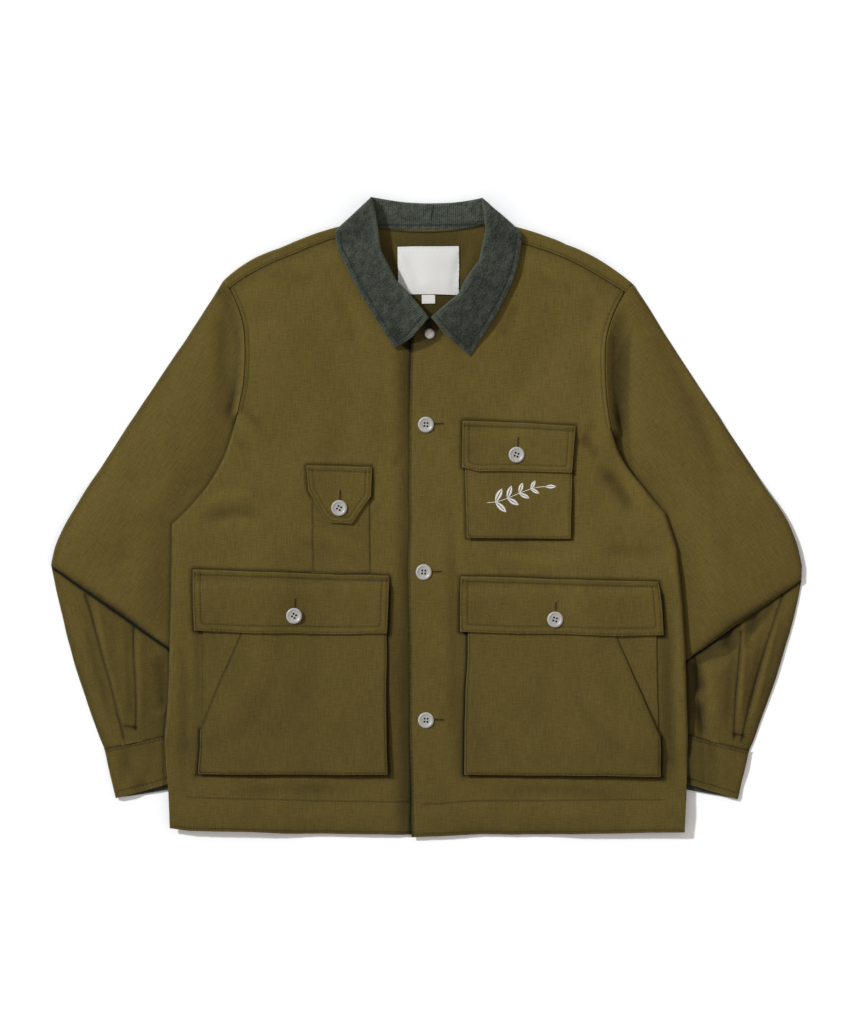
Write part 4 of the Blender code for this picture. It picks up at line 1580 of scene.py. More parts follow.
class Relief:
    """A height worked out once on a grid and softened, and read between the grid's points."""

    LOW = np.array((-450.0, -400.0))
    STEP = 5.0
    COUNT = (181, 161)

    def __init__(self, height: Height, softening: int = 2) -> None:
        """Works the height out at each grid point.

        Args:
            height: the height at any point.
            softening: how many times it is softened.
        """
        columns, rows = self.COUNT
        steps = np.stack(np.meshgrid(np.arange(columns), np.arange(rows), indexing="ij"), axis=-1)
        table = height(self.LOW + steps.reshape(-1, 2) * self.STEP).reshape(self.COUNT)
        for _ in range(softening):
            around = np.pad(table, 1, mode="edge")
            table = (2 * around[1:-1, 1:-1] + around[:-2, 1:-1] + around[2:, 1:-1]
                     + around[1:-1, :-2] + around[1:-1, 2:]) / 6.0
        self.table = table

    def __call__(self, plan: Array) -> Array:
        """The height at each point."""
        return between(self.table, (plan - self.LOW) / self.STEP)


def outward(plan: Array) -> Array:
    """The points with x outward from the centre line."""
    return np.column_stack((np.abs(plan[:, 0]), plan[:, 1]))


def lift(line: Line, plan: Array) -> Array:
    """1 over an outline and its margin, and 0 well away from it."""
    return 1.0 - smoothstep((line.outside_by(plan) - LIFT_MARGIN) / LIFT_RAMP)


def body_line(side: Side) -> Line:
    """The outline of a front, clockwise from the neck.

    Args:
        side: the wearer's side.

    Returns:
        The closed outline.
    """
    half = BODY[side]
    corners = (
        *half.neckline, *half.forward_seam[:-1], *half.armhole_sewn[:-1], *half.armhole_free[:-1],
        *half.side[:-1], *half.hem,
    )
    return Line.through(corners, side, closed=True)


class Lie:
    """How the jacket lies: the height over the floor of what each layer rests on."""

    HELD_RUN = 30.0  # how far from its held edges a front comes loose
    CREASE_SCALE = 1.7

    def __init__(self) -> None:
        """Works out how far the layers are lifted by what is under them."""
        self.forearm = Line.through((*LOWER_OUTER[Side.RIGHT], *LOWER_INNER), closed=True)
        cuff = Line.through((*CUFF_OUTER, *CUFF_INNER), closed=True)
        fall = Line.through(FALL, closed=True)
        tucked = {
            side: Line.through((*BODY[side].armhole_free, TUCK_CORNER, *UPPER_INNER[side]), closed=True)
            for side in Side
        }

        def over_forearm(plan: Array) -> Array:
            """The lift over a forearm."""
            return (TUBE + GAP) * lift(self.forearm, outward(plan))

        def over_all(plan: Array) -> Array:
            """The lift over the sleeves, the cuffs and the collar.

            Args:
                plan: the points.

            Returns:
                Their heights.
            """
            out = outward(plan)
            sleeve = np.where(plan[:, 0] > 0.0, lift(tucked[Side.LEFT], out), lift(tucked[Side.RIGHT], out))
            return np.maximum.reduce((
                sleeve * (TUBE + GAP + over_forearm(plan)), over_forearm(plan),
                (CUFF_TOP + GAP) * lift(cuff, out), (DOUBLE + GAP) * lift(fall, plan),
            ))

        self.sleeve = Relief(over_forearm)
        self.body = Relief(over_all)
        self.outlines = {side: body_line(side) for side in Side}
        self.waves = Undulation(3, 58.0, 2.0, 1.5)
        self.ripples = Undulation(5, 24.0, 0.42, 1.4)

    def corner(self, plan: Array) -> Array:
        """How far the wearer's left corner of the hem stands off the floor."""
        reach = np.hypot(*(plan - HEM_CORNER).T)
        return HEM_CORNER_RISE * np.exp(-((reach / HEM_CORNER_REACH) ** 2))

    def back(self, plan: Array) -> Array:
        """The inner face of the back."""
        return TWILL + self.body(plan) + self.corner(plan) + creased(plan, BACK_CREASES)

    def back_under(self, plan: Array) -> Array:
        """The outer face of the back, which lies on the floor."""
        return self.body(plan) + self.corner(plan)

    def front(self, side: Side) -> Height:
        """The upper face of a front, with the lap, the drape and the creases.

        Args:
            side: the wearer's side.

        Returns:
            The surface.
        """
        held = [Line.through(run, side) for run in (BODY[side].hem, BODY[side].forward_seam)]

        def height(plan: Array) -> Array:
            """The height at each point.

            Args:
                plan: the points.

            Returns:
                Their heights.
            """
            low, high = (smoothstep(line.near(plan)[0] / self.HELD_RUN) for line in held)
            loose = (1.0 + (HEM_LOOSE[side] - 1.0) * (1.0 - low)) * high
            lap = np.zeros(len(plan))
            if side is Side.LEFT:
                lap = LAP_RISE * (1.0 - smoothstep((plan[:, 0] - LAP_END) / LAP_RAMP))
            else:
                loose = loose * smoothstep((LAP_HELD - plan[:, 0]) / LAP_HELD_RUN)
            ridges = self.CREASE_SCALE * creased(plan, FRONT_CREASES[side])
            drape = self.waves(plan) + self.ripples(plan) + ridges
            return FRONT_TOP + self.body(plan) + self.corner(plan) + lap + loose * (FRONT_PUFF + drape)

        return height


LONGEST_TRIM = 3.0
BESIDE_POCKET = -0.8


def seam_on(corners: Sequence[Corner], side: Side, inset: float, **how: Any) -> Seam:
    """A row of stitches beside an edge.

    Args:
        corners: the edge, clockwise round its panel.
        side: the side that the corners are of.
        inset: how far the row lies inside the edge.
        how: the seam's own settings.

    Returns:
        The seam.
    """
    line = Line.through(corners, side).inset(inset)
    ends = min(inset, LONGEST_TRIM)
    return Seam(line.trimmed(ends, ends), **how)


def pocket_edges(side: Side) -> list[Line]:
    """The lines just outside the pockets and flaps of a front, where shade is painted.

    Args:
        side: the wearer's side.

    Returns:
        A line for each pocket and flap.
    """
    shape = CARGO[side]
    cargo = (shape.slant_foot, shape.outer_foot, shape.inner_foot, shape.inner_top)
    flaps = [(*shape.flap, shape.flap[0]), cargo]
    if side is Side.LEFT:
        patch = (Corner(168.5, 52.0), *CHEST_PATCH[1:3], Corner(46.0, 56.0))
        flaps += [(*CHEST_FLAP, CHEST_FLAP[0]), patch]
    else:
        flaps += [(*PEN_FLAP, PEN_FLAP[0])]
    return [Line.through(corners, side).inset(BESIDE_POCKET) for corners in flaps]


@dataclass
class Body:
    """The back, the wraps over the shoulders and the two fronts."""

    lie: Lie
    placket_row: float = 2.5
    armhole_row: float = 4.8
    hem_height: float = 39.0
    hem_step: float = 0.35
    wrap_row: float = 2.4
    wrap_rise: float = 0.35
    back_inset: float = 1.6
    back_step: float = 6.0
    neck_row: float = 3.0
    pitch: float = 3.0

    def build(self) -> None:
        """Builds the body's pieces."""
        self.build_back()
        for side in Side:
            self.build_wrap(side)
            self.build_front(side)

    def build_back(self) -> None:
        """The back, from one shoulder's fold to the other's."""
        halves = {}
        for side, half in BODY.items():
            corners = (
                *half.shoulder[:-1], *half.armhole_sewn[:-1], *half.armhole_free[:-1], *half.side[:-1],
                *half.hem[:2],
            )
            line = Line.through(corners, side, step=self.back_step)
            halves[side] = line.inset(self.back_inset).points
        neck = Line.through(NECK_SEAM, step=self.back_step).points
        outline = np.vstack((neck, halves[Side.LEFT], halves[Side.RIGHT][::-1]))
        # A wide shade is painted inside the neck, about the middle line.
        middle = Line(np.array([(0.0, 300.0), (0.0, 250.0)]))
        Panel(
            "back", Line(outline, True), self.lie.back, BODY_TWILL, ("back",), pitch=5.0,
            under=self.lie.back_under,
            seams=[
                Seam(Line(neck).inset(self.neck_row), pucker=0.1, stitched=False),
                Seam.painted(middle, NECK_INSIDE),
            ],
        ).build()

    def wrap_top(self, side: Side) -> Height:
        """The upper face of the back where it is wrapped over a shoulder.

        Args:
            side: the wearer's side.

        Returns:
            The surface.
        """
        seam = Line.through(BODY[side].forward_seam, side)

        def height(plan: Array) -> Array:
            """The height at each point, a little above the front where they are sewn."""
            near = 1.0 - smoothstep(seam.near(plan)[0] / 6.0)
            return self.lie.front(side)(plan) + self.wrap_rise * near

        return height

    def build_wrap(self, side: Side) -> None:
        """The strip of the back that shows in front of a shoulder.

        Args:
            side: the wearer's side.
        """
        half = BODY[side]
        fold = Line.through(half.shoulder, side)
        seam = Line.through(half.forward_seam, side)
        outline = np.vstack((fold.points, seam.points[::-1]))
        row = Line(seam.points, False, -side.value).inset(self.wrap_row).trimmed(2.0, 2.0)
        rows = [Seam(row, pucker=0.12, groove=0.15, seed=3)]
        Panel(
            f"back_wrap_{side.word}", Line(outline, True, side.value), self.wrap_top(side), BODY_TWILL,
            (f"back_wrap_{side.word}",), ("back",), pitch=2.6, seams=rows, folds=[Fold(fold)],
        ).build()

    def front_top(self, side: Side) -> Height:
        """The upper face of a front, with its hem turned up under it.

        Args:
            side: the wearer's side.

        Returns:
            The surface.
        """
        half = BODY[side]
        hem = Line.through(half.hem, side)

        def height(plan: Array) -> Array:
            """The height at each point."""
            in_hem = 1.0 - smoothstep((hem.near(plan)[0] - self.hem_height) / 1.5)
            return self.lie.front(side)(plan) + self.hem_step * in_hem

        return height

    def build_front(self, side: Side) -> None:
        """A front, with its topstitching.

        Args:
            side: the wearer's side.
        """
        half = BODY[side]
        placket = (half.hem[-1], half.neckline[0])
        hem_row = seam_on(half.hem, side, self.hem_height, pucker=0.2, reach=5.0, seed=2)
        first, last = (24.0, 14.0) if side is Side.LEFT else (14.0, 4.0)
        hem_row.line = Line.through(half.hem, side).inset(self.hem_height).trimmed(first, last)
        seams = [
            hem_row,
            seam_on(half.armhole_sewn, side, self.armhole_row, pucker=0.12, seed=4),
            seam_on(half.hem, side, 3.0, pucker=0.1, seed=6),
        ]
        if side is Side.LEFT:
            row = seam_on(placket, side, self.placket_row, pucker=0.32, reach=9.0, seed=5, wavelength=6.6)
            seams.append(row)
        # Painted shade just outside the pockets and flaps, and wider beside the cargo pockets' sides.
        seams += [Seam.painted(line, POCKET_EDGE) for line in pocket_edges(side)]
        shape = CARGO[side]
        for ends in ((shape.inner_foot, shape.inner_top), (shape.outer_head, shape.outer_foot)):
            seams.append(Seam.painted(Line.through(ends, side).inset(-4.0), POCKET_SIDE))
        # Painted shade along the armhole and the shoulder seam, and on the wearer's left along the placket
        # and at the snap; on the right, beside the lap's edge.
        turned = [Line.through(half.armhole_sewn, side), Line.through(half.forward_seam, side)]
        if side is Side.LEFT:
            turned.append(Line.through(placket, side))
            at_snap = Line(np.array([(2.0, 230.0), (3.0, 214.0)]))
            seams.append(Seam.painted(at_snap, SNAP_GAP))
        else:
            under_placket = Line.through((Corner(18.6, 233.0), Corner(17.8, -370.0)), side)
            seams.append(Seam.painted(under_placket, PLACKET_EDGE))
            seams.append(Seam.painted(under_placket.inset(-6.0), PLACKET_SIDE))
        folds = [Fold(Line.through((*half.armhole_free[:-1], *half.side), side), 4.0, 2.0)]
        # The fronts' edges are not paled; a shadow is painted under the meeting of the collar's leaves.
        Panel(
            f"front_{side.word}", self.lie.outlines[side], self.front_top(side), BODY_TWILL,
            (f"front_{side.word}",), ("back",), pitch=self.pitch, seams=seams, folds=folds, turned=turned,
            rim=0.0, deeps=[(Line.through(NECK_SHADOW, closed=True), NECK_DARK)],
        ).build()


@dataclass
class Sleeve:
    """A sleeve: the upper part lies on its forearm, which ends in a cuff."""

    lie: Lie
    side: Side
    puff: float = 7.0
    forearm_puff: float = 3.6
    pitch: float = 3.4

    TUCK_RUN = 45.0  # how far from the body a sleeve takes to come loose
    FOLD_RUN = 34.0  # how far from its fold it takes to fill out
    ELBOW_RUN = 9.0
    SEAM_RUN = 5.0
    SEAM_DROP = 0.8
    FOREARM_FREE = 40.0
    FOREARM_RUN = 16.0
    FOREARM_CREASE_SCALE = 1.5
    FOREARM_GRAIN = -16.0
    UPPER_GRAIN = 35.0
    FACING_GRAIN = 75.0
    CUFF_RAISED = 10.0  # how far from its seam the cuff stays raised
    CUFF_FILLED = 12.0  # how far from its fold it takes to fill out

    def build(self) -> None:
        """Builds the sleeve's pieces."""
        self.build_upper()
        self.build_forearm()
        self.build_cuff()

    def upper_outline(self) -> Line:
        """The upper sleeve, clockwise from the shoulder's end.

        Returns:
            The closed outline.
        """
        half = BODY[self.side]
        shoulder = half.shoulder[-1]
        corners = (
            Corner(shoulder.x, shoulder.y), *UPPER_OUTER[self.side], *UPPER_INNER[self.side],
            *self.mouth_corners(),
        )
        return Line.through(corners, self.side, closed=True)

    def mouth_corners(self) -> tuple[Corner, ...]:
        """The armhole's seam from its foot up, a little outside the body's edge.

        Returns:
            The corners, with x outward.
        """
        sewn = BODY[self.side].armhole_sewn
        swells = [-corner.swell for corner in sewn[:-1]][::-1]
        corners = [Corner(corner.x + GAP, corner.y) for corner in sewn[::-1]]
        return tuple(corner._replace(swell=swell) for corner, swell in zip(corners, [*swells, 0.0]))

    def upper_top(self) -> Height:
        """The upper face of the upper sleeve.

        Returns:
            The surface.
        """
        half = BODY[self.side]
        outer = Line.through((half.shoulder[-1], *UPPER_OUTER[self.side]), self.side)
        elbow = self.elbow()
        sewn = Line.through((half.shoulder[-1], *half.armhole_sewn), self.side)
        tucked = Line.through((*half.armhole_free[:-1], *half.side), self.side)
        body = self.lie.outlines[self.side]
        front = self.lie.front(self.side)
        drape = Undulation(11 + self.side.value, 55.0, 1.2, 1.4)

        def height(plan: Array) -> Array:
            """The height at each point.

            Args:
                plan: the points.

            Returns:
                Their heights.
            """
            outside = ~body.inside(plan)
            loose = smoothstep(tucked.near(plan)[0] / self.TUCK_RUN) * outside
            full = 1.0 - np.exp(-outer.near(plan)[0] / self.FOLD_RUN)
            full = full * (1.0 - np.exp(-elbow.near(plan)[0] / self.ELBOW_RUN))
            own = TUBE - EDGE_THIN * (1.0 - full) * outside + self.lie.sleeve(plan)
            own += loose * (full * (self.puff + drape(plan)) + creased(plan, UPPER_CREASES[self.side]))
            joined = np.exp(-((sewn.near(plan)[0] / self.SEAM_RUN) ** 2)) * outside
            return own + joined * (front(plan) - self.SEAM_DROP - own)

        return height

    def elbow(self) -> Line:
        """The fold over the forearm."""
        return Line.through((UPPER_OUTER[self.side][-1], UPPER_INNER[self.side][0]), self.side)

    def under_body(self) -> Seam:
        """The painted shadow on the sleeve beside the edge of the body that lies on it.

        Returns:
            The painted shadow, as a seam.
        """
        half = BODY[self.side]
        edge = Line.through((*half.armhole_free[:-1], *half.side), self.side).inset(-1.0)
        return Seam.painted(edge, BODY_EDGE)

    def build_upper(self) -> None:
        """The upper sleeve, from the armhole to the elbow's fold."""
        half = BODY[self.side]
        name = f"sleeve_upper_{self.side.word}"
        around = (half.shoulder[-1], *UPPER_OUTER[self.side], UPPER_INNER[self.side][0])
        outer = Line.through(around, self.side)
        inner = Line.through((*UPPER_INNER[self.side], self.mouth_corners()[0]), self.side)
        # Painted shadow beside the body; on the wearer's right, painted shade beside the armhole and along
        # the elbow's fold; on the left, a painted shadow beside the armhole.
        seams, turned, deeps = [self.under_body()], [], []
        if self.side is Side.RIGHT:
            seams.append(Seam.painted(Line.through(half.armhole_sewn, self.side).inset(-9.0), ARMHOLE_SIDE))
            turned.append(self.elbow())
        else:
            deeps.append((Line.through(ARMHOLE_SHADOW, self.side, closed=True), ARMHOLE_DARK))
        Tube(
            name, self.upper_outline(), self.upper_top(), SLEEVE_TWILL, (name,),
            (f"sleeve_lower_{self.side.word}", "floor"), pitch=self.pitch, under=self.lie.sleeve,
            edge_radius=0.2, folds=[Fold(outer, 2.8), Fold(inner, 1.6)],
            grain=self.UPPER_GRAIN * self.side.value, mouths=[Line.through(self.mouth_corners(), self.side)],
            turned=turned, seams=seams, deeps=deeps,
        ).build()

    def forearm_top(self) -> Height:
        """The upper face of the forearm.

        Returns:
            The surface.
        """
        upper = Line.through((*UPPER_OUTER[self.side], *UPPER_INNER[self.side]), self.side, closed=True)
        edges = Line.through(LOWER_OUTER[self.side], self.side)
        body = self.lie.outlines[self.side]
        drape = Undulation(21 + self.side.value, 40.0, 0.6, 2.0)

        def height(plan: Array) -> Array:
            """The height at each point.

            Args:
                plan: the points.

            Returns:
                Their heights.
            """
            clear = np.minimum(upper.outside_by(plan), body.outside_by(plan))
            free = smoothstep(clear / self.FOREARM_FREE)
            rounding = 1.0 - np.exp(-edges.near(plan)[0] / self.FOREARM_RUN)
            relief = creased(plan, FOREARM_CREASES[self.side]) * smoothstep(body.outside_by(plan) / 6.0)
            own = TUBE - EDGE_THIN * (1.0 - rounding)
            loose = (self.forearm_puff * rounding + drape(plan)) * free
            return own + loose + self.FOREARM_CREASE_SCALE * relief

        return height

    def build_forearm(self) -> None:
        """The forearm, from the elbow to the cuff."""
        side = self.side
        name = f"sleeve_lower_{side.word}"
        outer, inner = LOWER_OUTER[side], LOWER_INNER
        # Painted shade beside the body, where the forearm lies deep, under the elbow's fold and along the
        # pleats; on the wearer's left, painted shadows as well.
        seams = [self.under_body()]
        seams += [Seam.painted(Line.through(ends, side), tone) for ends, tone in FOREARM_SHADES[side]]
        seams.append(Seam.painted(self.elbow().inset(-1.4), ELBOW_EDGE[side]))
        seams += [Seam.painted(Line.through(pleat, side), PLEAT_EDGE) for pleat in PLEATS[side]]
        deeps = [
            (Line.through(corners, side, closed=True), dark)
            for corners, dark in zip(FOREARM_SHADOWS, FOREARM_DARK) if side is Side.LEFT
        ]
        Tube(
            name, Line.through((*outer, *inner), side, closed=True), self.forearm_top(), CUFF_TWILL, (name,),
            pitch=2.4, under=level_at(0.0), edge_radius=0.2, seams=seams, deeps=deeps,
            folds=[Fold(Line.through(outer, side), 2.4), Fold(Line.through(inner, side), 1.6)],
            mouths=[Line.through((outer[-1], inner[0]), side), Line.through((inner[-1], outer[0]), side)],
            grain=self.FOREARM_GRAIN * side.value,
        ).build()

    def build_cuff(self) -> None:
        """The cuff and the needlecord facing in its mouth."""
        side = self.side
        word = side.word
        corners = (CUFF_FOOT, CUFF_OUTER[1], CUFF_MOUTH_INNER, CUFF_HEAD)
        top_edge = (CUFF_HEAD, CUFF_FOOT)
        mouth = (CUFF_OUTER[-1], CUFF_MOUTH_INNER)
        waves = Undulation(31 + side.value, 15.0, 1.4, 1.6)
        rows = [
            seam_on(top_edge, side, 1.6, pucker=0.3, seed=7),
            seam_on(top_edge, side, 4.6, pucker=0.2, seed=8),
            seam_on(mouth, side, 7.0, pucker=0.3, seed=9),
        ]
        folded = Line.through(CUFF_OUTER, side)
        seam_line = Line.through(top_edge, side)

        def top(plan: Array) -> Array:
            """The upper face of the cuff.

            Args:
                plan: the points.

            Returns:
                Their heights.
            """
            raised = CUFF_LOOSE * np.exp(-seam_line.near(plan)[0] / self.CUFF_RAISED)
            filled = 1.0 - np.exp(-folded.near(plan)[0] / self.CUFF_FILLED)
            return CUFF_TOP + CUFF_LOOSE + raised + waves(plan) + filled

        Panel(
            f"cuff_facing_{word}", Line.through(self.facing_corners(), side, closed=True),
            level_at(TWILL + GAP + FACING), CORD, (f"cuff_facing_{word}",), pitch=3.0, thickness=FACING,
            grain=self.FACING_GRAIN * side.value,
        ).build()
        Panel(
            f"cuff_under_{word}", Line.through((*CUFF_OUTER, *CUFF_INNER), side, closed=True).inset(1.2),
            level_at(TWILL), CUFF_TWILL, (), pitch=4.0,
        ).build()
        # Painted shade along the cuff's top edge and beside the body; on the wearer's left, a painted shadow
        # beside the body too.
        deeps = []
        if side is Side.LEFT:
            deeps.append((Line.through(FOREARM_SHADOWS[-1], side, closed=True), FOREARM_DARK[-1]))
        Panel(
            f"cuff_{word}", Line.through(corners, side, closed=True), top, CUFF_TWILL, (f"cuff_{word}",),
            (f"cuff_facing_{word}",), pitch=2.2, seams=[*rows, self.under_body()], folds=[Fold(folded, 2.6)],
            grain=self.FOREARM_GRAIN * side.value, turned=[Line.through(top_edge, side)], deeps=deeps,
        ).build()

    def facing_corners(self) -> tuple[Corner, ...]:
        """The facing's outline: the foot of the cuff, inside its folded edge.

        Returns:
            The corners, with x outward.
        """
        outer_top, outer_foot = CUFF_OUTER
        inner_foot, inner_top = CUFF_INNER
        (outer_x, outer_y), (inner_x, inner_y) = (
            (foot.x + (top.x - foot.x) * FACING_SHARE, foot.y + (top.y - foot.y) * FACING_SHARE)
            for foot, top in ((outer_foot, outer_top), (inner_foot, inner_top))
        )
        return (
            Corner(outer_x - 2.0, outer_y), Corner(outer_foot.x - 2.0, outer_foot.y + 0.6),
            Corner(inner_foot.x + 1.0, inner_foot.y + 0.3), Corner(inner_x + 1.0, inner_y),
        )


@dataclass
class Collar:
    """The collar: the band behind the neck, and the two leaves on the fronts."""

    lie: Lie
    stand: float = 12.0
    reach: float = 42.0
    stitch_inset: float = 5.8
    band_rise: float = 3.4
    band_height: float = 32.0
    band_off: float = 1.2
    lap_starts: float = -46.0
    lap_run: float = 28.0
    leaf_foot: float = 205.0
    leaf_height: float = 150.0
    tip_run: float = 36.0
    roundness: float = 1.8

    def build(self) -> None:
        """Builds the band and the leaves."""
        self.build_band()
        for side in Side:
            self.build_leaf(side)

    def build_band(self) -> None:
        """The band inside the neck, folded over at its top, and the fall behind it."""
        first, last = COLLAR_TOP
        corners = (Corner(first.x - 2.4, first.y - 0.6, first.swell), Corner(last.x + 2.4, last.y - 0.6))
        top = Line.through(corners)
        neck = Line.through(NECK_SEAM[::-1])
        other_side = (-BAND_SIDE[0], BAND_SIDE[1])
        outline = np.vstack((top.points, [BAND_SIDE, BAND_FOOT], self.neck_edge(), [other_side]))
        waves = Undulation(41, 30.0, 0.5)

        def height(plan: Array) -> Array:
            """The band leans up to its fold."""
            rise = np.clip((plan[:, 1] - BAND_FOOT[1]) / self.band_height, 0.0, 1.0)
            return 2 * DOUBLE + GAP + self.band_off + self.band_rise * rise + waves(plan)

        def under(plan: Array) -> Array:
            """The band's other face, which comes down at its fold."""
            down = 1.0 - smoothstep((top.near(plan)[0] - 1.5) / 1.5)
            return (height(plan) - DOUBLE) * (1.0 - down)

        Panel(
            "collar_fall", Line.through(FALL, closed=True), level_at(DOUBLE), CORD, (), thickness=DOUBLE,
            pitch=4.0,
        ).build()
        centre = Line(np.array([(6.0, 345.0), (9.0, 364.5)]))
        Panel(
            "collar_back", Line(outline, True), height, BAND_CORD, ("collar_back",), ("collar_fall",),
            thickness=DOUBLE, pitch=1.5, under=under, folds=[Fold(top, 3.0)], thread=CORD_THREAD,
            seams=[Seam(centre, pucker=0.1, groove=0.8, stitched=False), Seam(neck.inset(-2.0), pucker=0.3)],
        ).build()

    def neck_edge(self) -> Array:
        """The band's lower edge, from the wearer's left to the right."""
        return Line.through(NECK_SEAM).points[::-1] + (0.0, -1.0)

    def build_leaf(self, side: Side) -> None:
        """A leaf: it rises to its roll line, and its point lies on the front.

        Args:
            side: the wearer's side.
        """
        corners = LEAVES[side]
        roll = Line.through((*corners[LEAF_ROLL_STARTS:], corners[0]), side)
        shoulder = Line.through(corners[:2], side)
        edge = corners[1:LEAF_ROLL_STARTS + 1]
        front = self.lie.front(side)
        tip = np.array((corners[LEAF_POINT].x * side.value, corners[LEAF_POINT].y))
        waves = Undulation(51 + side.value, 34.0, 0.35)
        lap = self.lie.front(Side.LEFT)

        def base(plan: Array) -> Array:
            """What the leaf lies on.

            Args:
                plan: the points.

            Returns:
                Their heights.
            """
            level = front(plan)
            over = smoothstep((plan[:, 0] - self.lap_starts) / self.lap_run)
            return level + over * np.maximum(lap(plan) - level, 0.0) + GAP

        def height(plan: Array) -> Array:
            """The upper face.

            Args:
                plan: the points.

            Returns:
                Their heights.
            """
            up = np.clip((plan[:, 1] - self.leaf_foot) / self.leaf_height, 0.0, 1.0)
            stand = self.stand * (1.0 - 0.5 * up) * smoothstep(np.hypot(*(plan - tip).T) / self.tip_run)
            lifted = stand * np.exp(-((roll.near(plan)[0] / self.reach) ** self.roundness)) + 2.0 * up
            return base(plan) + DOUBLE + lifted + waves(plan) * smoothstep(roll.near(plan)[0] / 15.0) + 0.2

        def under(plan: Array) -> Array:
            """The under face, which goes down as the stand behind the roll line and at the shoulder.

            Args:
                plan: the points.

            Returns:
                Their heights.
            """
            within = np.minimum(roll.near(plan)[0], shoulder.near(plan)[0] + 0.5)
            down = 1.0 - smoothstep((within - 1.6) / 1.2)
            level = height(plan) - DOUBLE
            floor = np.where(shoulder.near(plan)[0] < 6.0, 0.4, base(plan) - 0.6)
            return level + down * (np.minimum(floor, level) - level)

        name = f"collar_leaf_{side.word}"
        row = seam_on(
            edge, side, self.stitch_inset, pucker=0.3, groove=0.55, reach=4.5, seed=12, wavelength=4.6,
        )
        Panel(
            name, Line.through(corners, side, closed=True, step=2.0), height, CORD, (name,),
            (f"front_{side.word}",), thickness=DOUBLE, pitch=1.6, under=under, seams=[row], edge_radius=0.9,
            folds=[Fold(roll, 2.6), Fold(shoulder, 3.0)], thread=CORD_THREAD, pale_band=self.stitch_inset,
            grain=90.0 - LEAF_GRAIN * side.value,
        ).build()


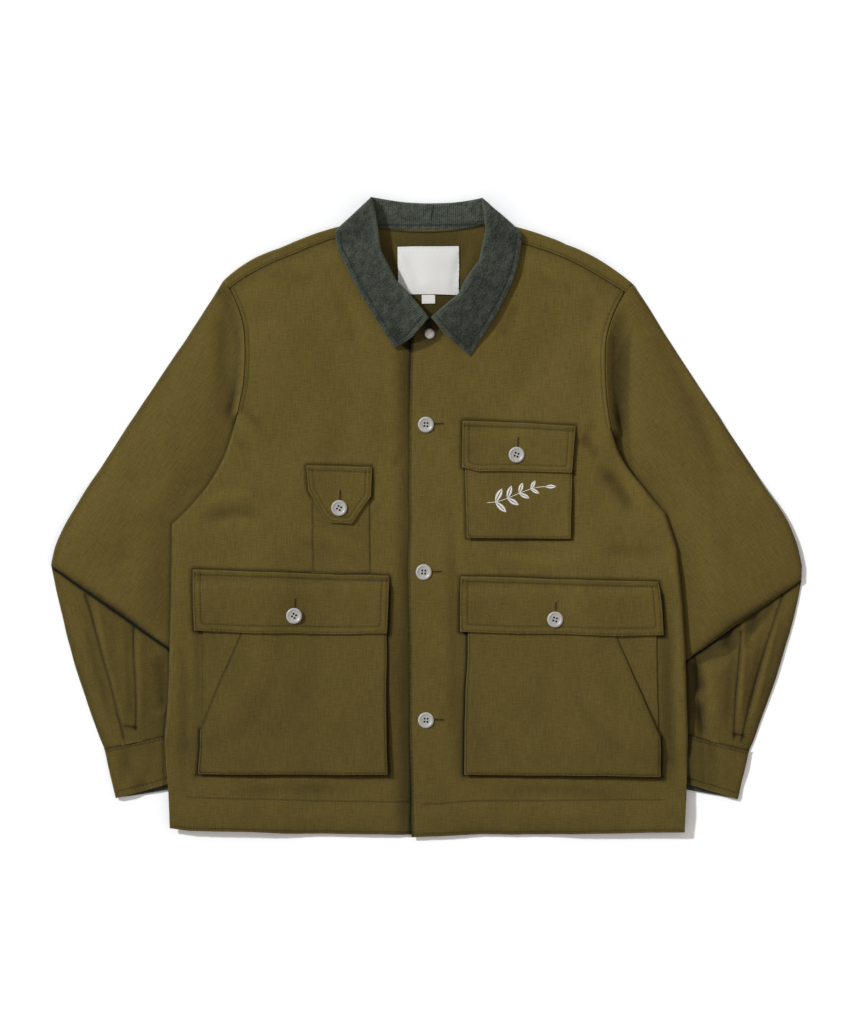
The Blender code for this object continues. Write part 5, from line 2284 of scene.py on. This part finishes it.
@dataclass
class Pockets:
    """The pockets on the fronts, with their flaps."""

    lie: Lie
    bellows: float = 5.0
    chest_bellows: float = 3.4
    flap_rows: tuple[float, float] = (2.0, 8.6)
    top_row: float = 5.8
    gusset_drop: float = 1.3
    gusset_gap: float = 0.1
    tack_length: float = 8.0
    stand_top: float = 0.32  # the share of its bellows that a patch stands off at its top
    stand_more: float = 0.75
    gusset_out: float = 2.2
    gusset_in: float = 3.4

    def build(self) -> dict[str, Height]:
        """Builds the pockets, and gives the upper face of each flap.

        Returns:
            The faces, by the name of the button on each.
        """
        faces = {}
        for side in Side:
            faces[f"button_cargo_{side.word}"] = self.build_cargo(side)
        faces["button_chest"] = self.build_chest()
        faces["button_pen"] = self.build_pen()
        return faces

    def patch_face(self, side: Side, height: float, top: float, drop: float, seed: int) -> Height:
        """A surface that stands further off the front as it goes down, with a drape of its own.

        Args:
            side: the wearer's side.
            height: how far it stands off.
            top: its top edge, in Y.
            drop: how far down it takes to stand off.
            seed: picks its drape.

        Returns:
            The surface.
        """
        front = self.lie.front(side)
        own = Undulation(seed, 48.0, 0.5, 1.3)
        sag = Undulation(seed + 5, 46.0, 0.42, 4.0)

        def face(plan: Array) -> Array:
            """The height at each point.

            Args:
                plan: the points.

            Returns:
                Their heights.
            """
            down = smoothstep((top - 10.0 - plan[:, 1]) / drop)
            share = self.stand_top + (self.stand_more + sag(plan)) * down
            return front(plan) + GAP + height * share + own(plan) * (0.4 + 0.6 * down)

        return face

    def gusset(self, name: str, sewn: Line, face: Height, front: Height) -> bpy.types.Object:
        """The wall between a patch and the front, set in from the patch's edge.

        Args:
            name: the piece's name.
            sewn: the patch's sewn edge.
            face: the patch's upper face.
            front: the front's upper face.

        Returns:
            The piece.
        """
        outer, inner = sewn.inset(self.gusset_out), sewn.inset(self.gusset_in)
        outline = Line(np.vstack((outer.points, inner.points[::-1])), True, sewn.hand)
        wall = Panel(
            name, outline, lambda plan: face(plan) - self.gusset_drop, POCKET_TWILL, (), pitch=20.0,
            under=lambda plan: front(plan) + self.gusset_gap, edge_radius=0.05,
        )
        piece = wall.shaped()
        wall.dress(piece)
        return report(crept(piece))

    def flap(
        self, name: str, side: Side, corners: tuple[Corner, ...], start: float, patch: Height,
        rows: list[Seam],
    ) -> Height:
        """A flap: sewn down along its top, it climbs onto its pocket.

        Args:
            name: the piece's name.
            side: the front that it is on.
            corners: its outline, clockwise from its inner top corner.
            start: how high up it starts to climb.
            patch: the pocket's upper face.
            rows: its stitching.

        Returns:
            Its upper face.
        """
        front = self.lie.front(side)
        outline = Line.through(corners, side, closed=True)
        free = Line.through((*corners[1:], corners[0]), side)
        curl = Undulation(len(name), 22.0, 0.25)

        def height(plan: Array) -> Array:
            """The height at each point before the seams.

            Args:
                plan: the points.

            Returns:
                Their heights.
            """
            climb = smoothstep((start - plan[:, 1]) / FLAP_RUN)
            loose = climb * (1.0 + curl(plan)) * np.exp(-free.near(plan)[0] / 12.0)
            return front(plan) + GAP + climb * (patch(plan) - front(plan)) + DOUBLE + loose

        panel = Panel(
            name, outline, height, POCKET_TWILL, (name,), (f"front_{side.word}",), thickness=DOUBLE,
            pitch=2.2, seams=rows, edge_radius=0.8,
        )
        panel.build([self.bar_tacks(name, side, corners, panel.upper)])
        return panel.upper

    def bar_tacks(self, name: str, side: Side, corners: tuple[Corner, ...], face: Height) -> bpy.types.Object:
        """The close cross stitches in a flap's sewn corners.

        Args:
            name: the flap's name.
            side: the wearer's side.
            corners: the flap's outline.
            face: the flap's upper face.

        Returns:
            The piece.
        """
        tacks = Stitching(f"bar_tacks_{name}")
        for corner, turn in ((corners[0], 1.0), (corners[1], -1.0)):
            steps = np.arange(0.0, self.tack_length, 1.2)
            along = np.column_stack((np.full(len(steps), corner.x + turn * 5.2), corner.y - 6.5 - steps))
            tacks.lay(along * (side.value, 1.0), np.tile((1.0, 0.0), (len(steps), 1)), face, 3.4, 0.8)
        return tacks.build()

    def build_cargo(self, side: Side) -> Height:
        """A bellows pocket with a slanted hand opening.

        Args:
            side: the wearer's side.

        Returns:
            The flap's upper face.
        """
        shape = CARGO[side]
        front = self.lie.front(side)
        face = self.patch_face(side, self.bellows, shape.patch_top, 190.0, 60 + side.value)
        sewn = (shape.slant_foot, shape.outer_foot, shape.inner_foot, shape.inner_top)
        corners = (*sewn, shape.slant_head)
        slant = (shape.slant_head, shape.slant_foot)
        rows = [
            seam_on(sewn, side, 2.0, pucker=0.2, groove=0.4, reach=3.0, stitched=False, seed=13),
            seam_on(slant, side, 2.6, pucker=0.1, seed=14, shade=0.3),
        ]
        bag = Line.through((shape.outer_head, *sewn), side, closed=True).inset(1.6)
        bag_name = f"cargo_bag_{side.word}"
        # The bag's rim below 0 paints a shade along its edge.
        Panel(
            bag_name, bag, lambda plan: front(plan) + GAP + FACING, POCKET_TWILL, (bag_name,),
            (f"front_{side.word}",), thickness=FACING, pitch=4.0, rim=-1.2,
        ).build()
        wall = self.gusset(f"cargo_gusset_{side.word}", Line.through(sewn, side), face, front)
        name = f"cargo_pocket_{side.word}"
        # The patch's edge is paled as wear and as painted highlight, more on the wearer's left, and a shade
        # is painted along its slant.
        Panel(
            name, Line.through(corners, side, closed=True), face, POCKET_TWILL, (name,), (bag_name,),
            pitch=2.5, seams=rows, edge_radius=0.9, rim=0.8 if side is Side.LEFT else 0.3,
            turned=[Line.through(slant, side)],
        ).build([wall])
        flap = shape.flap
        free = (*flap[1:], flap[0])
        double = [
            seam_on(free, side, inset, pucker=0.26, reach=4.0, seed=16 + index, wavelength=4.8)
            for index, inset in enumerate(self.flap_rows)
        ]
        double.append(seam_on(flap[:2], side, self.top_row, pucker=0.1, groove=0.5, seed=19))
        return self.flap(f"cargo_flap_{side.word}", side, flap, shape.slope_start, face, double)

    def build_chest(self) -> Height:
        """The small bellows pocket on the wearer's left of the chest.

        Returns:
            The flap's upper face.
        """
        side = Side.LEFT
        front = self.lie.front(side)
        face = self.patch_face(side, self.chest_bellows, 91.0, 90.0, 71)
        wall = self.gusset("chest_gusset", Line.through(CHEST_PATCH, side), face, front)
        row = seam_on(CHEST_PATCH, side, 2.0, pucker=0.2, groove=0.4, reach=3.0, stitched=False, seed=22)
        Panel(
            "chest_pocket", Line.through(CHEST_PATCH, side, closed=True), face, POCKET_TWILL,
            ("chest_pocket",), ("front_left",), pitch=2.3, edge_radius=0.9, seams=[row],
        ).build([wall])
        free = (*CHEST_FLAP[1:], CHEST_FLAP[0])
        rows = [seam_on(free, side, inset, pucker=0.16, seed=23 + at) for at, inset in enumerate((2.0, 7.6))]
        rows.append(seam_on(CHEST_FLAP[:2], side, self.top_row, pucker=0.2, groove=0.5, seed=26))
        upper = self.flap("chest_flap", side, CHEST_FLAP, 105.0, face, rows)
        Sprig(face).build()
        return upper

    def build_pen(self) -> Height:
        """The narrow pen pocket on the wearer's right, under its wide flap.

        Returns:
            The flap's upper face.
        """
        side = Side.RIGHT
        face = self.patch_face(side, TWILL, -200.0, 90.0, 81)
        # A shade is painted along the patch's outline.
        Panel(
            "pen_pocket", Line.through(PEN_PATCH, side, closed=True), face, POCKET_TWILL, ("pen_pocket",),
            ("front_right",), pitch=2.4,
            seams=[seam_on(PEN_PATCH, side, 2.2, pucker=0.2, seed=27)],
            turned=[Line.through((*PEN_PATCH, PEN_PATCH[0]), side)],
        ).build()
        free = (*PEN_FLAP[1:], PEN_FLAP[0])
        rows = [seam_on(free, side, inset, pucker=0.14, seed=28 + at) for at, inset in enumerate((2.0, 7.0))]
        rows.append(seam_on(PEN_FLAP[:2], side, self.top_row, pucker=0.2, groove=0.5, seed=31))
        return self.flap("pen_flap", side, PEN_FLAP, 57.0, face, rows)


@dataclass
class Sprig:
    """A generic leaf sprig in satin stitch on the chest pocket."""

    face: Height
    centre: tuple[float, float] = (104.4, 28.4)
    length: float = 66.0
    leaf: float = 17.0
    stitch: float = 0.75
    pairs: int = 4

    def build(self) -> bpy.types.Object:
        """Stitches the stem and its leaves.

        Returns:
            The piece.
        """
        threads = Stitching("chest_sprig", WHITE_THREAD)
        share = np.linspace(0.0, 1.0, 40)
        stem = np.column_stack((
            self.centre[0] + (share - 0.5) * self.length,
            self.centre[1] + 9.0 * np.sin((share - 0.5) * math.pi) - 2.0,
        ))
        ways = np.gradient(stem, axis=0)
        ways /= np.hypot(*ways.T)[:, None]
        threads.lay(stem, ways, self.face, 2.6, 0.9)
        for pair in range(self.pairs):
            at = 5 + 8 * pair
            for turn in (-1.0, 1.0):
                angle = math.atan2(ways[at][1], ways[at][0]) + turn * (0.95 - 0.06 * pair)
                self.stitch_leaf(threads, stem[at], angle, self.leaf * (1.0 - 0.12 * pair))
        self.stitch_leaf(threads, stem[-1], math.atan2(ways[-1][1], ways[-1][0]), 0.7 * self.leaf)
        return threads.build()

    def stitch_leaf(self, threads: Stitching, foot: Array, angle: float, length: float) -> None:
        """Fills a leaf with slanted stitches on each side of its rib.

        Args:
            threads: the stitching that takes the stitches.
            foot: the leaf's foot.
            angle: its direction, in radians.
            length: its length.
        """
        way = np.array((math.cos(angle), math.sin(angle)))
        across = np.array((-way[1], way[0]))
        count = round(length / self.stitch)
        share = (np.arange(count) + 0.5) / count
        half = 0.24 * length * np.sin(math.pi * share ** 0.8)
        for turn in (-1.0, 1.0):
            slant = 0.85 * turn * across + 0.5 * way
            slant = slant / np.hypot(*slant)
            middle = foot + share[:, None] * length * way + slant * (half[:, None] * 0.5 + 0.15)
            threads.lay(middle, np.tile(slant, (len(share), 1)), self.face, half + 0.3, 0.8)


@dataclass
class Fastenings:
    """The buttons with their buttonholes, and the snap at the neck."""

    lie: Lie
    faces: dict[str, Height]
    diameter: float = 18.4
    proud: float = 2.1
    hole: float = 2.6
    spread: float = 2.5
    snap_diameter: float = 12.0

    PROFILE = (  # share of the radius, drop from the top
        (0.0, 1.0), (0.56, 1.0), (0.66, 0.75), (0.74, 0.12), (0.83, 0.0), (0.93, 0.25), (1.0, 1.05),
        (0.96, 2.1), (0.8, 2.8), (0.0, 2.8),
    )
    SNAP_PROFILE = ((0.0, 0.0), (0.45, 0.12), (0.75, 0.5), (0.93, 1.1), (1.0, 1.8), (0.93, 2.2), (0.0, 2.2))
    SIDES = 48
    HOLES = 4
    SEAT = 7.0  # how far out a button touches the cloth
    SLIT = 13.0
    SLIT_STEP = 0.9
    LIP = 1.45  # how far a buttonhole's edge lies from its middle

    def build(self) -> None:
        """Builds each fastening on the face under it."""
        lap = self.lie.front(Side.LEFT)
        dark = Stitching("buttonhole_slits", DARK_THREAD_AND_SHADE)
        edges = Stitching("buttonhole_edges")
        shanks = Stitching("button_threads", DARK_THREAD_AND_SHADE)
        for name, (x, y) in BUTTONS.items():
            face = self.faces.get(name, lap)
            across = name.startswith("button_placket")
            turn = 0.2 + 0.37 * len(name) % 0.6
            self.build_button(name, x, y, face, turn)
            self.sew(shanks, x, y, face, turn)
            start = (x + 7.6, y + 0.4) if across else (x + 1.0, y + 7.0)
            self.buttonhole(dark, edges, start, (1.0, 0.0) if across else (0.03, 1.0), face)
        for stitching in (dark, edges, shanks):
            stitching.build()
        self.build_snap(lap)

    def turned(self, profile: Sequence[tuple[float, float]], radius: float) -> bmesh.types.BMesh:
        """A solid turned about Z from a profile of shares of a radius and drops from its top.

        Args:
            profile: the shares and drops.
            radius: the radius.

        Returns:
            The solid.
        """
        shape = bmesh.new()
        points = [shape.verts.new((share * radius, 0.0, -drop)) for share, drop in profile]
        run = [shape.edges.new(pair) for pair in zip(points, points[1:])]
        bmesh.ops.spin(
            shape, geom=[*points, *run], cent=(0.0, 0.0, 0.0), axis=(0.0, 0.0, 1.0), angle=2.0 * math.pi,
            steps=self.SIDES, use_merge=True,
        )
        bmesh.ops.remove_doubles(shape, verts=shape.verts, dist=1e-4)
        bmesh.ops.recalc_face_normals(shape, faces=shape.faces)
        return shape

    def seat(self, x: float, y: float, radius: float, face: Height) -> float:
        """The highest of the face under a fastening."""
        turns = np.linspace(0.0, 2.0 * math.pi, 16, endpoint=False)
        return float(face(np.column_stack((x + radius * np.cos(turns), y + radius * np.sin(turns)))).max())

    def build_button(self, name: str, x: float, y: float, face: Height, turn: float) -> None:
        """A four-hole button with a raised rim.

        Args:
            name: the piece's name.
            x: its middle across.
            y: its middle along.
            face: the upper face of what is under it.
            turn: how far it is turned, in radians.
        """
        shape = self.turned(self.PROFILE, self.diameter / 2.0)
        top = self.seat(x, y, self.SEAT, face) + self.proud
        place = Vector((*drift(np.array([(x, y)]))[0], top))
        bmesh.ops.translate(shape, verts=shape.verts, vec=place)
        button = finished(f"{name}_resin", shape, BUTTON_RESIN, sharp=40.0)
        drills = bmesh.new()
        for quarter in range(self.HOLES):
            angle = turn + quarter * math.pi / 2.0
            spot = Vector((self.spread * math.cos(angle), self.spread * math.sin(angle), 0.0)) + place
            bmesh.ops.create_cone(
                drills, cap_ends=True, segments=12, radius1=self.hole / 2.0, radius2=self.hole / 2.0,
                depth=12.0, matrix=Matrix.Translation(spot),
            )
        bmesh.ops.scale(drills, vec=(MM, MM, MM), verts=drills.verts)
        data = bpy.data.meshes.new("drills")
        drills.to_mesh(data)
        drills.free()
        cutter = bpy.data.objects.new("drills", data)
        bpy.context.scene.collection.objects.link(cutter)
        cut = button.modifiers.new("holes", "BOOLEAN")
        cut.operation = "DIFFERENCE"
        cut.object = cutter
        cut.solver = "EXACT"
        shown = button.evaluated_get(bpy.context.evaluated_depsgraph_get())
        holed = bpy.data.meshes.new_from_object(shown)
        button.modifiers.clear()
        button.data = holed
        bpy.data.objects.remove(cutter)
        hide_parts(name)
        report(button)

    def sew(self, shanks: Stitching, x: float, y: float, face: Height, turn: float) -> None:
        """The threads through a button's holes.

        Args:
            shanks: the stitching that takes the threads.
            x: the button's middle across.
            y: its middle along.
            face: the upper face of what is under it.
            turn: how far the holes are turned, in radians.
        """
        angles = turn + np.arange(self.HOLES) * math.pi / 2.0
        spots = np.column_stack((x + self.spread * np.cos(angles), y + self.spread * np.sin(angles)))
        level = self.seat(x, y, self.SEAT, face) + 0.3
        shanks.lay(spots, np.tile((1.0, 0.0), (self.HOLES, 1)), level_at(level), 1.3, 1.3)

    def buttonhole(
        self, dark: Stitching, edges: Stitching, start: tuple[float, float], way: tuple[float, float],
        face: Height,
    ) -> None:
        """A slit between two edges of close stitches, with a bar at its end; a dark strip paints the shade in
        the slit.

        Args:
            dark: the stitching that takes the slit's painted shade.
            edges: the stitching that takes its edges and its bar.
            start: the end beside the button.
            way: its direction.
            face: the upper face of what is under it.
        """
        along = np.array(way) / math.hypot(*way)
        side = np.array((-along[1], along[0]))
        first = np.array(start)
        steps = np.arange(0.0, self.SLIT, self.SLIT_STEP)
        middle = first + steps[:, None] * along
        # A dark strip of threads along the slit, as painted shade in the cut.
        dark.lay(middle, np.tile(along, (len(steps), 1)), lambda plan: face(plan) + 0.02, 1.4, 2.0)
        for turn in (-1.0, 1.0):
            edges.lay(middle + turn * self.LIP * side, np.tile(side, (len(steps), 1)), face, 1.2, 0.7)
        bar = first + (self.SLIT + 0.3) * along + np.linspace(-1.4, 1.4, 5)[:, None] * side
        edges.lay(bar, np.tile(along, (5, 1)), face, 1.6, 0.7)

    def build_snap(self, face: Height) -> None:
        """The domed cap of the snap.

        Args:
            face: the upper face of what is under it.
        """
        x, y = SNAP
        radius = self.snap_diameter / 2.0
        shape = self.turned(self.SNAP_PROFILE, radius)
        place = (*drift(np.array([(x, y)]))[0], self.seat(x, y, radius, face) + 2.1)
        bmesh.ops.translate(shape, verts=shape.verts, vec=place)
        snap = finished("snap_neck_cap", shape, SNAP_STEEL, sharp=60.0)
        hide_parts("snap_neck")
        report(snap)


@dataclass
class Labels:
    """The bare neck label and the bare tab under it."""

    lie: Lie

    def build(self) -> None:
        """Lays both on the inside of the back."""
        crumple = Undulation(91, 15.0, 0.5)
        for name, corners, rise in (("size_tab", SIZE_TAB, 0.0), ("neck_label", LABEL, 0.3)):
            outline = Line.through(corners, closed=True, step=2.0)
            rows = [Seam(outline.inset(1.6), pucker=0.12, groove=0.2)] if name == "neck_label" else []

            def top(plan: Array, rise: float = rise) -> Array:
                """The upper face of the label."""
                return self.lie.back(plan) + GAP + WOVEN + rise + crumple(plan)

            Panel(
                name, outline, top, LABEL_SATIN, (name,), ("back",), thickness=WOVEN, pitch=2.0, seams=rows,
                edge_radius=0.3, thread=WHITE_THREAD,
            ).build()


@dataclass
class Studio:
    """The white floor, the light and the camera over the jacket."""

    height: float = 4.0
    frame_height: float = 1.188
    aim: tuple[float, float] = (0.0, 0.0064)
    shadow: tuple[float, float] = (0.80, -0.60)
    elevation: float = 36.0
    sun: float = 2.85
    sun_size: float = 5.0
    fill: float = 0.55
    floor_drop: float = 0.0003

    def build(self) -> None:
        """Sets the stage."""
        scene = bpy.context.scene
        scene.view_settings.view_transform = "Standard"
        self.build_floor()
        world = bpy.data.worlds.new("studio")
        world.use_nodes = True
        background = world.node_tree.nodes["Background"]
        background.inputs["Color"].default_value = (1.0, 0.955, 0.92, 1.0)
        background.inputs["Strength"].default_value = self.fill
        scene.world = world
        light = bpy.data.lights.new("key", "SUN")
        light.energy = self.sun
        light.color = (0.95, 1.0, 1.05)
        light.angle = math.radians(self.sun_size)
        key = bpy.data.objects.new("key", light)
        down = Vector((*self.shadow, -math.tan(math.radians(self.elevation))))
        key.rotation_euler = down.to_track_quat("-Z", "Y").to_euler()
        scene.collection.objects.link(key)
        lens = bpy.data.cameras.new("camera")
        lens.sensor_fit = "VERTICAL"
        lens.sensor_height = 36.0
        lens.sensor_width = 36.0
        lens.lens = lens.sensor_height * self.height / self.frame_height
        lens.clip_end = 20.0
        camera = bpy.data.objects.new("camera", lens)
        camera.location = (*self.aim, self.height)
        scene.collection.objects.link(camera)
        scene.camera = camera

    def build_floor(self) -> None:
        """A white floor just under the jacket."""
        graph = Graph("floor")
        graph.shader.inputs["Base Color"].default_value = (0.98, 0.98, 0.98, 1.0)
        graph.shader.inputs["Roughness"].default_value = 1.0
        graph.shader.inputs["Specular IOR Level"].default_value = 0.0
        shape = bmesh.new()
        bmesh.ops.create_grid(shape, x_segments=1, y_segments=1, size=6.0)
        data = bpy.data.meshes.new("floor")
        shape.to_mesh(data)
        shape.free()
        data.materials.append(graph.material)
        floor = bpy.data.objects.new("floor", data)
        floor.location = (0.0, 0.0, -self.floor_drop)
        bpy.context.scene.collection.objects.link(floor)


def main() -> None:
    logging.basicConfig(level=logging.INFO, format="%(message)s")
    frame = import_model()
    LOG.info("frame loaded: %s", type(frame).__name__)
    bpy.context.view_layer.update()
    lie = Lie()
    Body(lie).build()
    for side in Side:
        Sleeve(lie, side).build()
    Collar(lie).build()
    faces = Pockets(lie).build()
    Fastenings(lie, faces).build()
    Labels(lie).build()
    Studio().build()


if __name__ == "__main__":
    main()
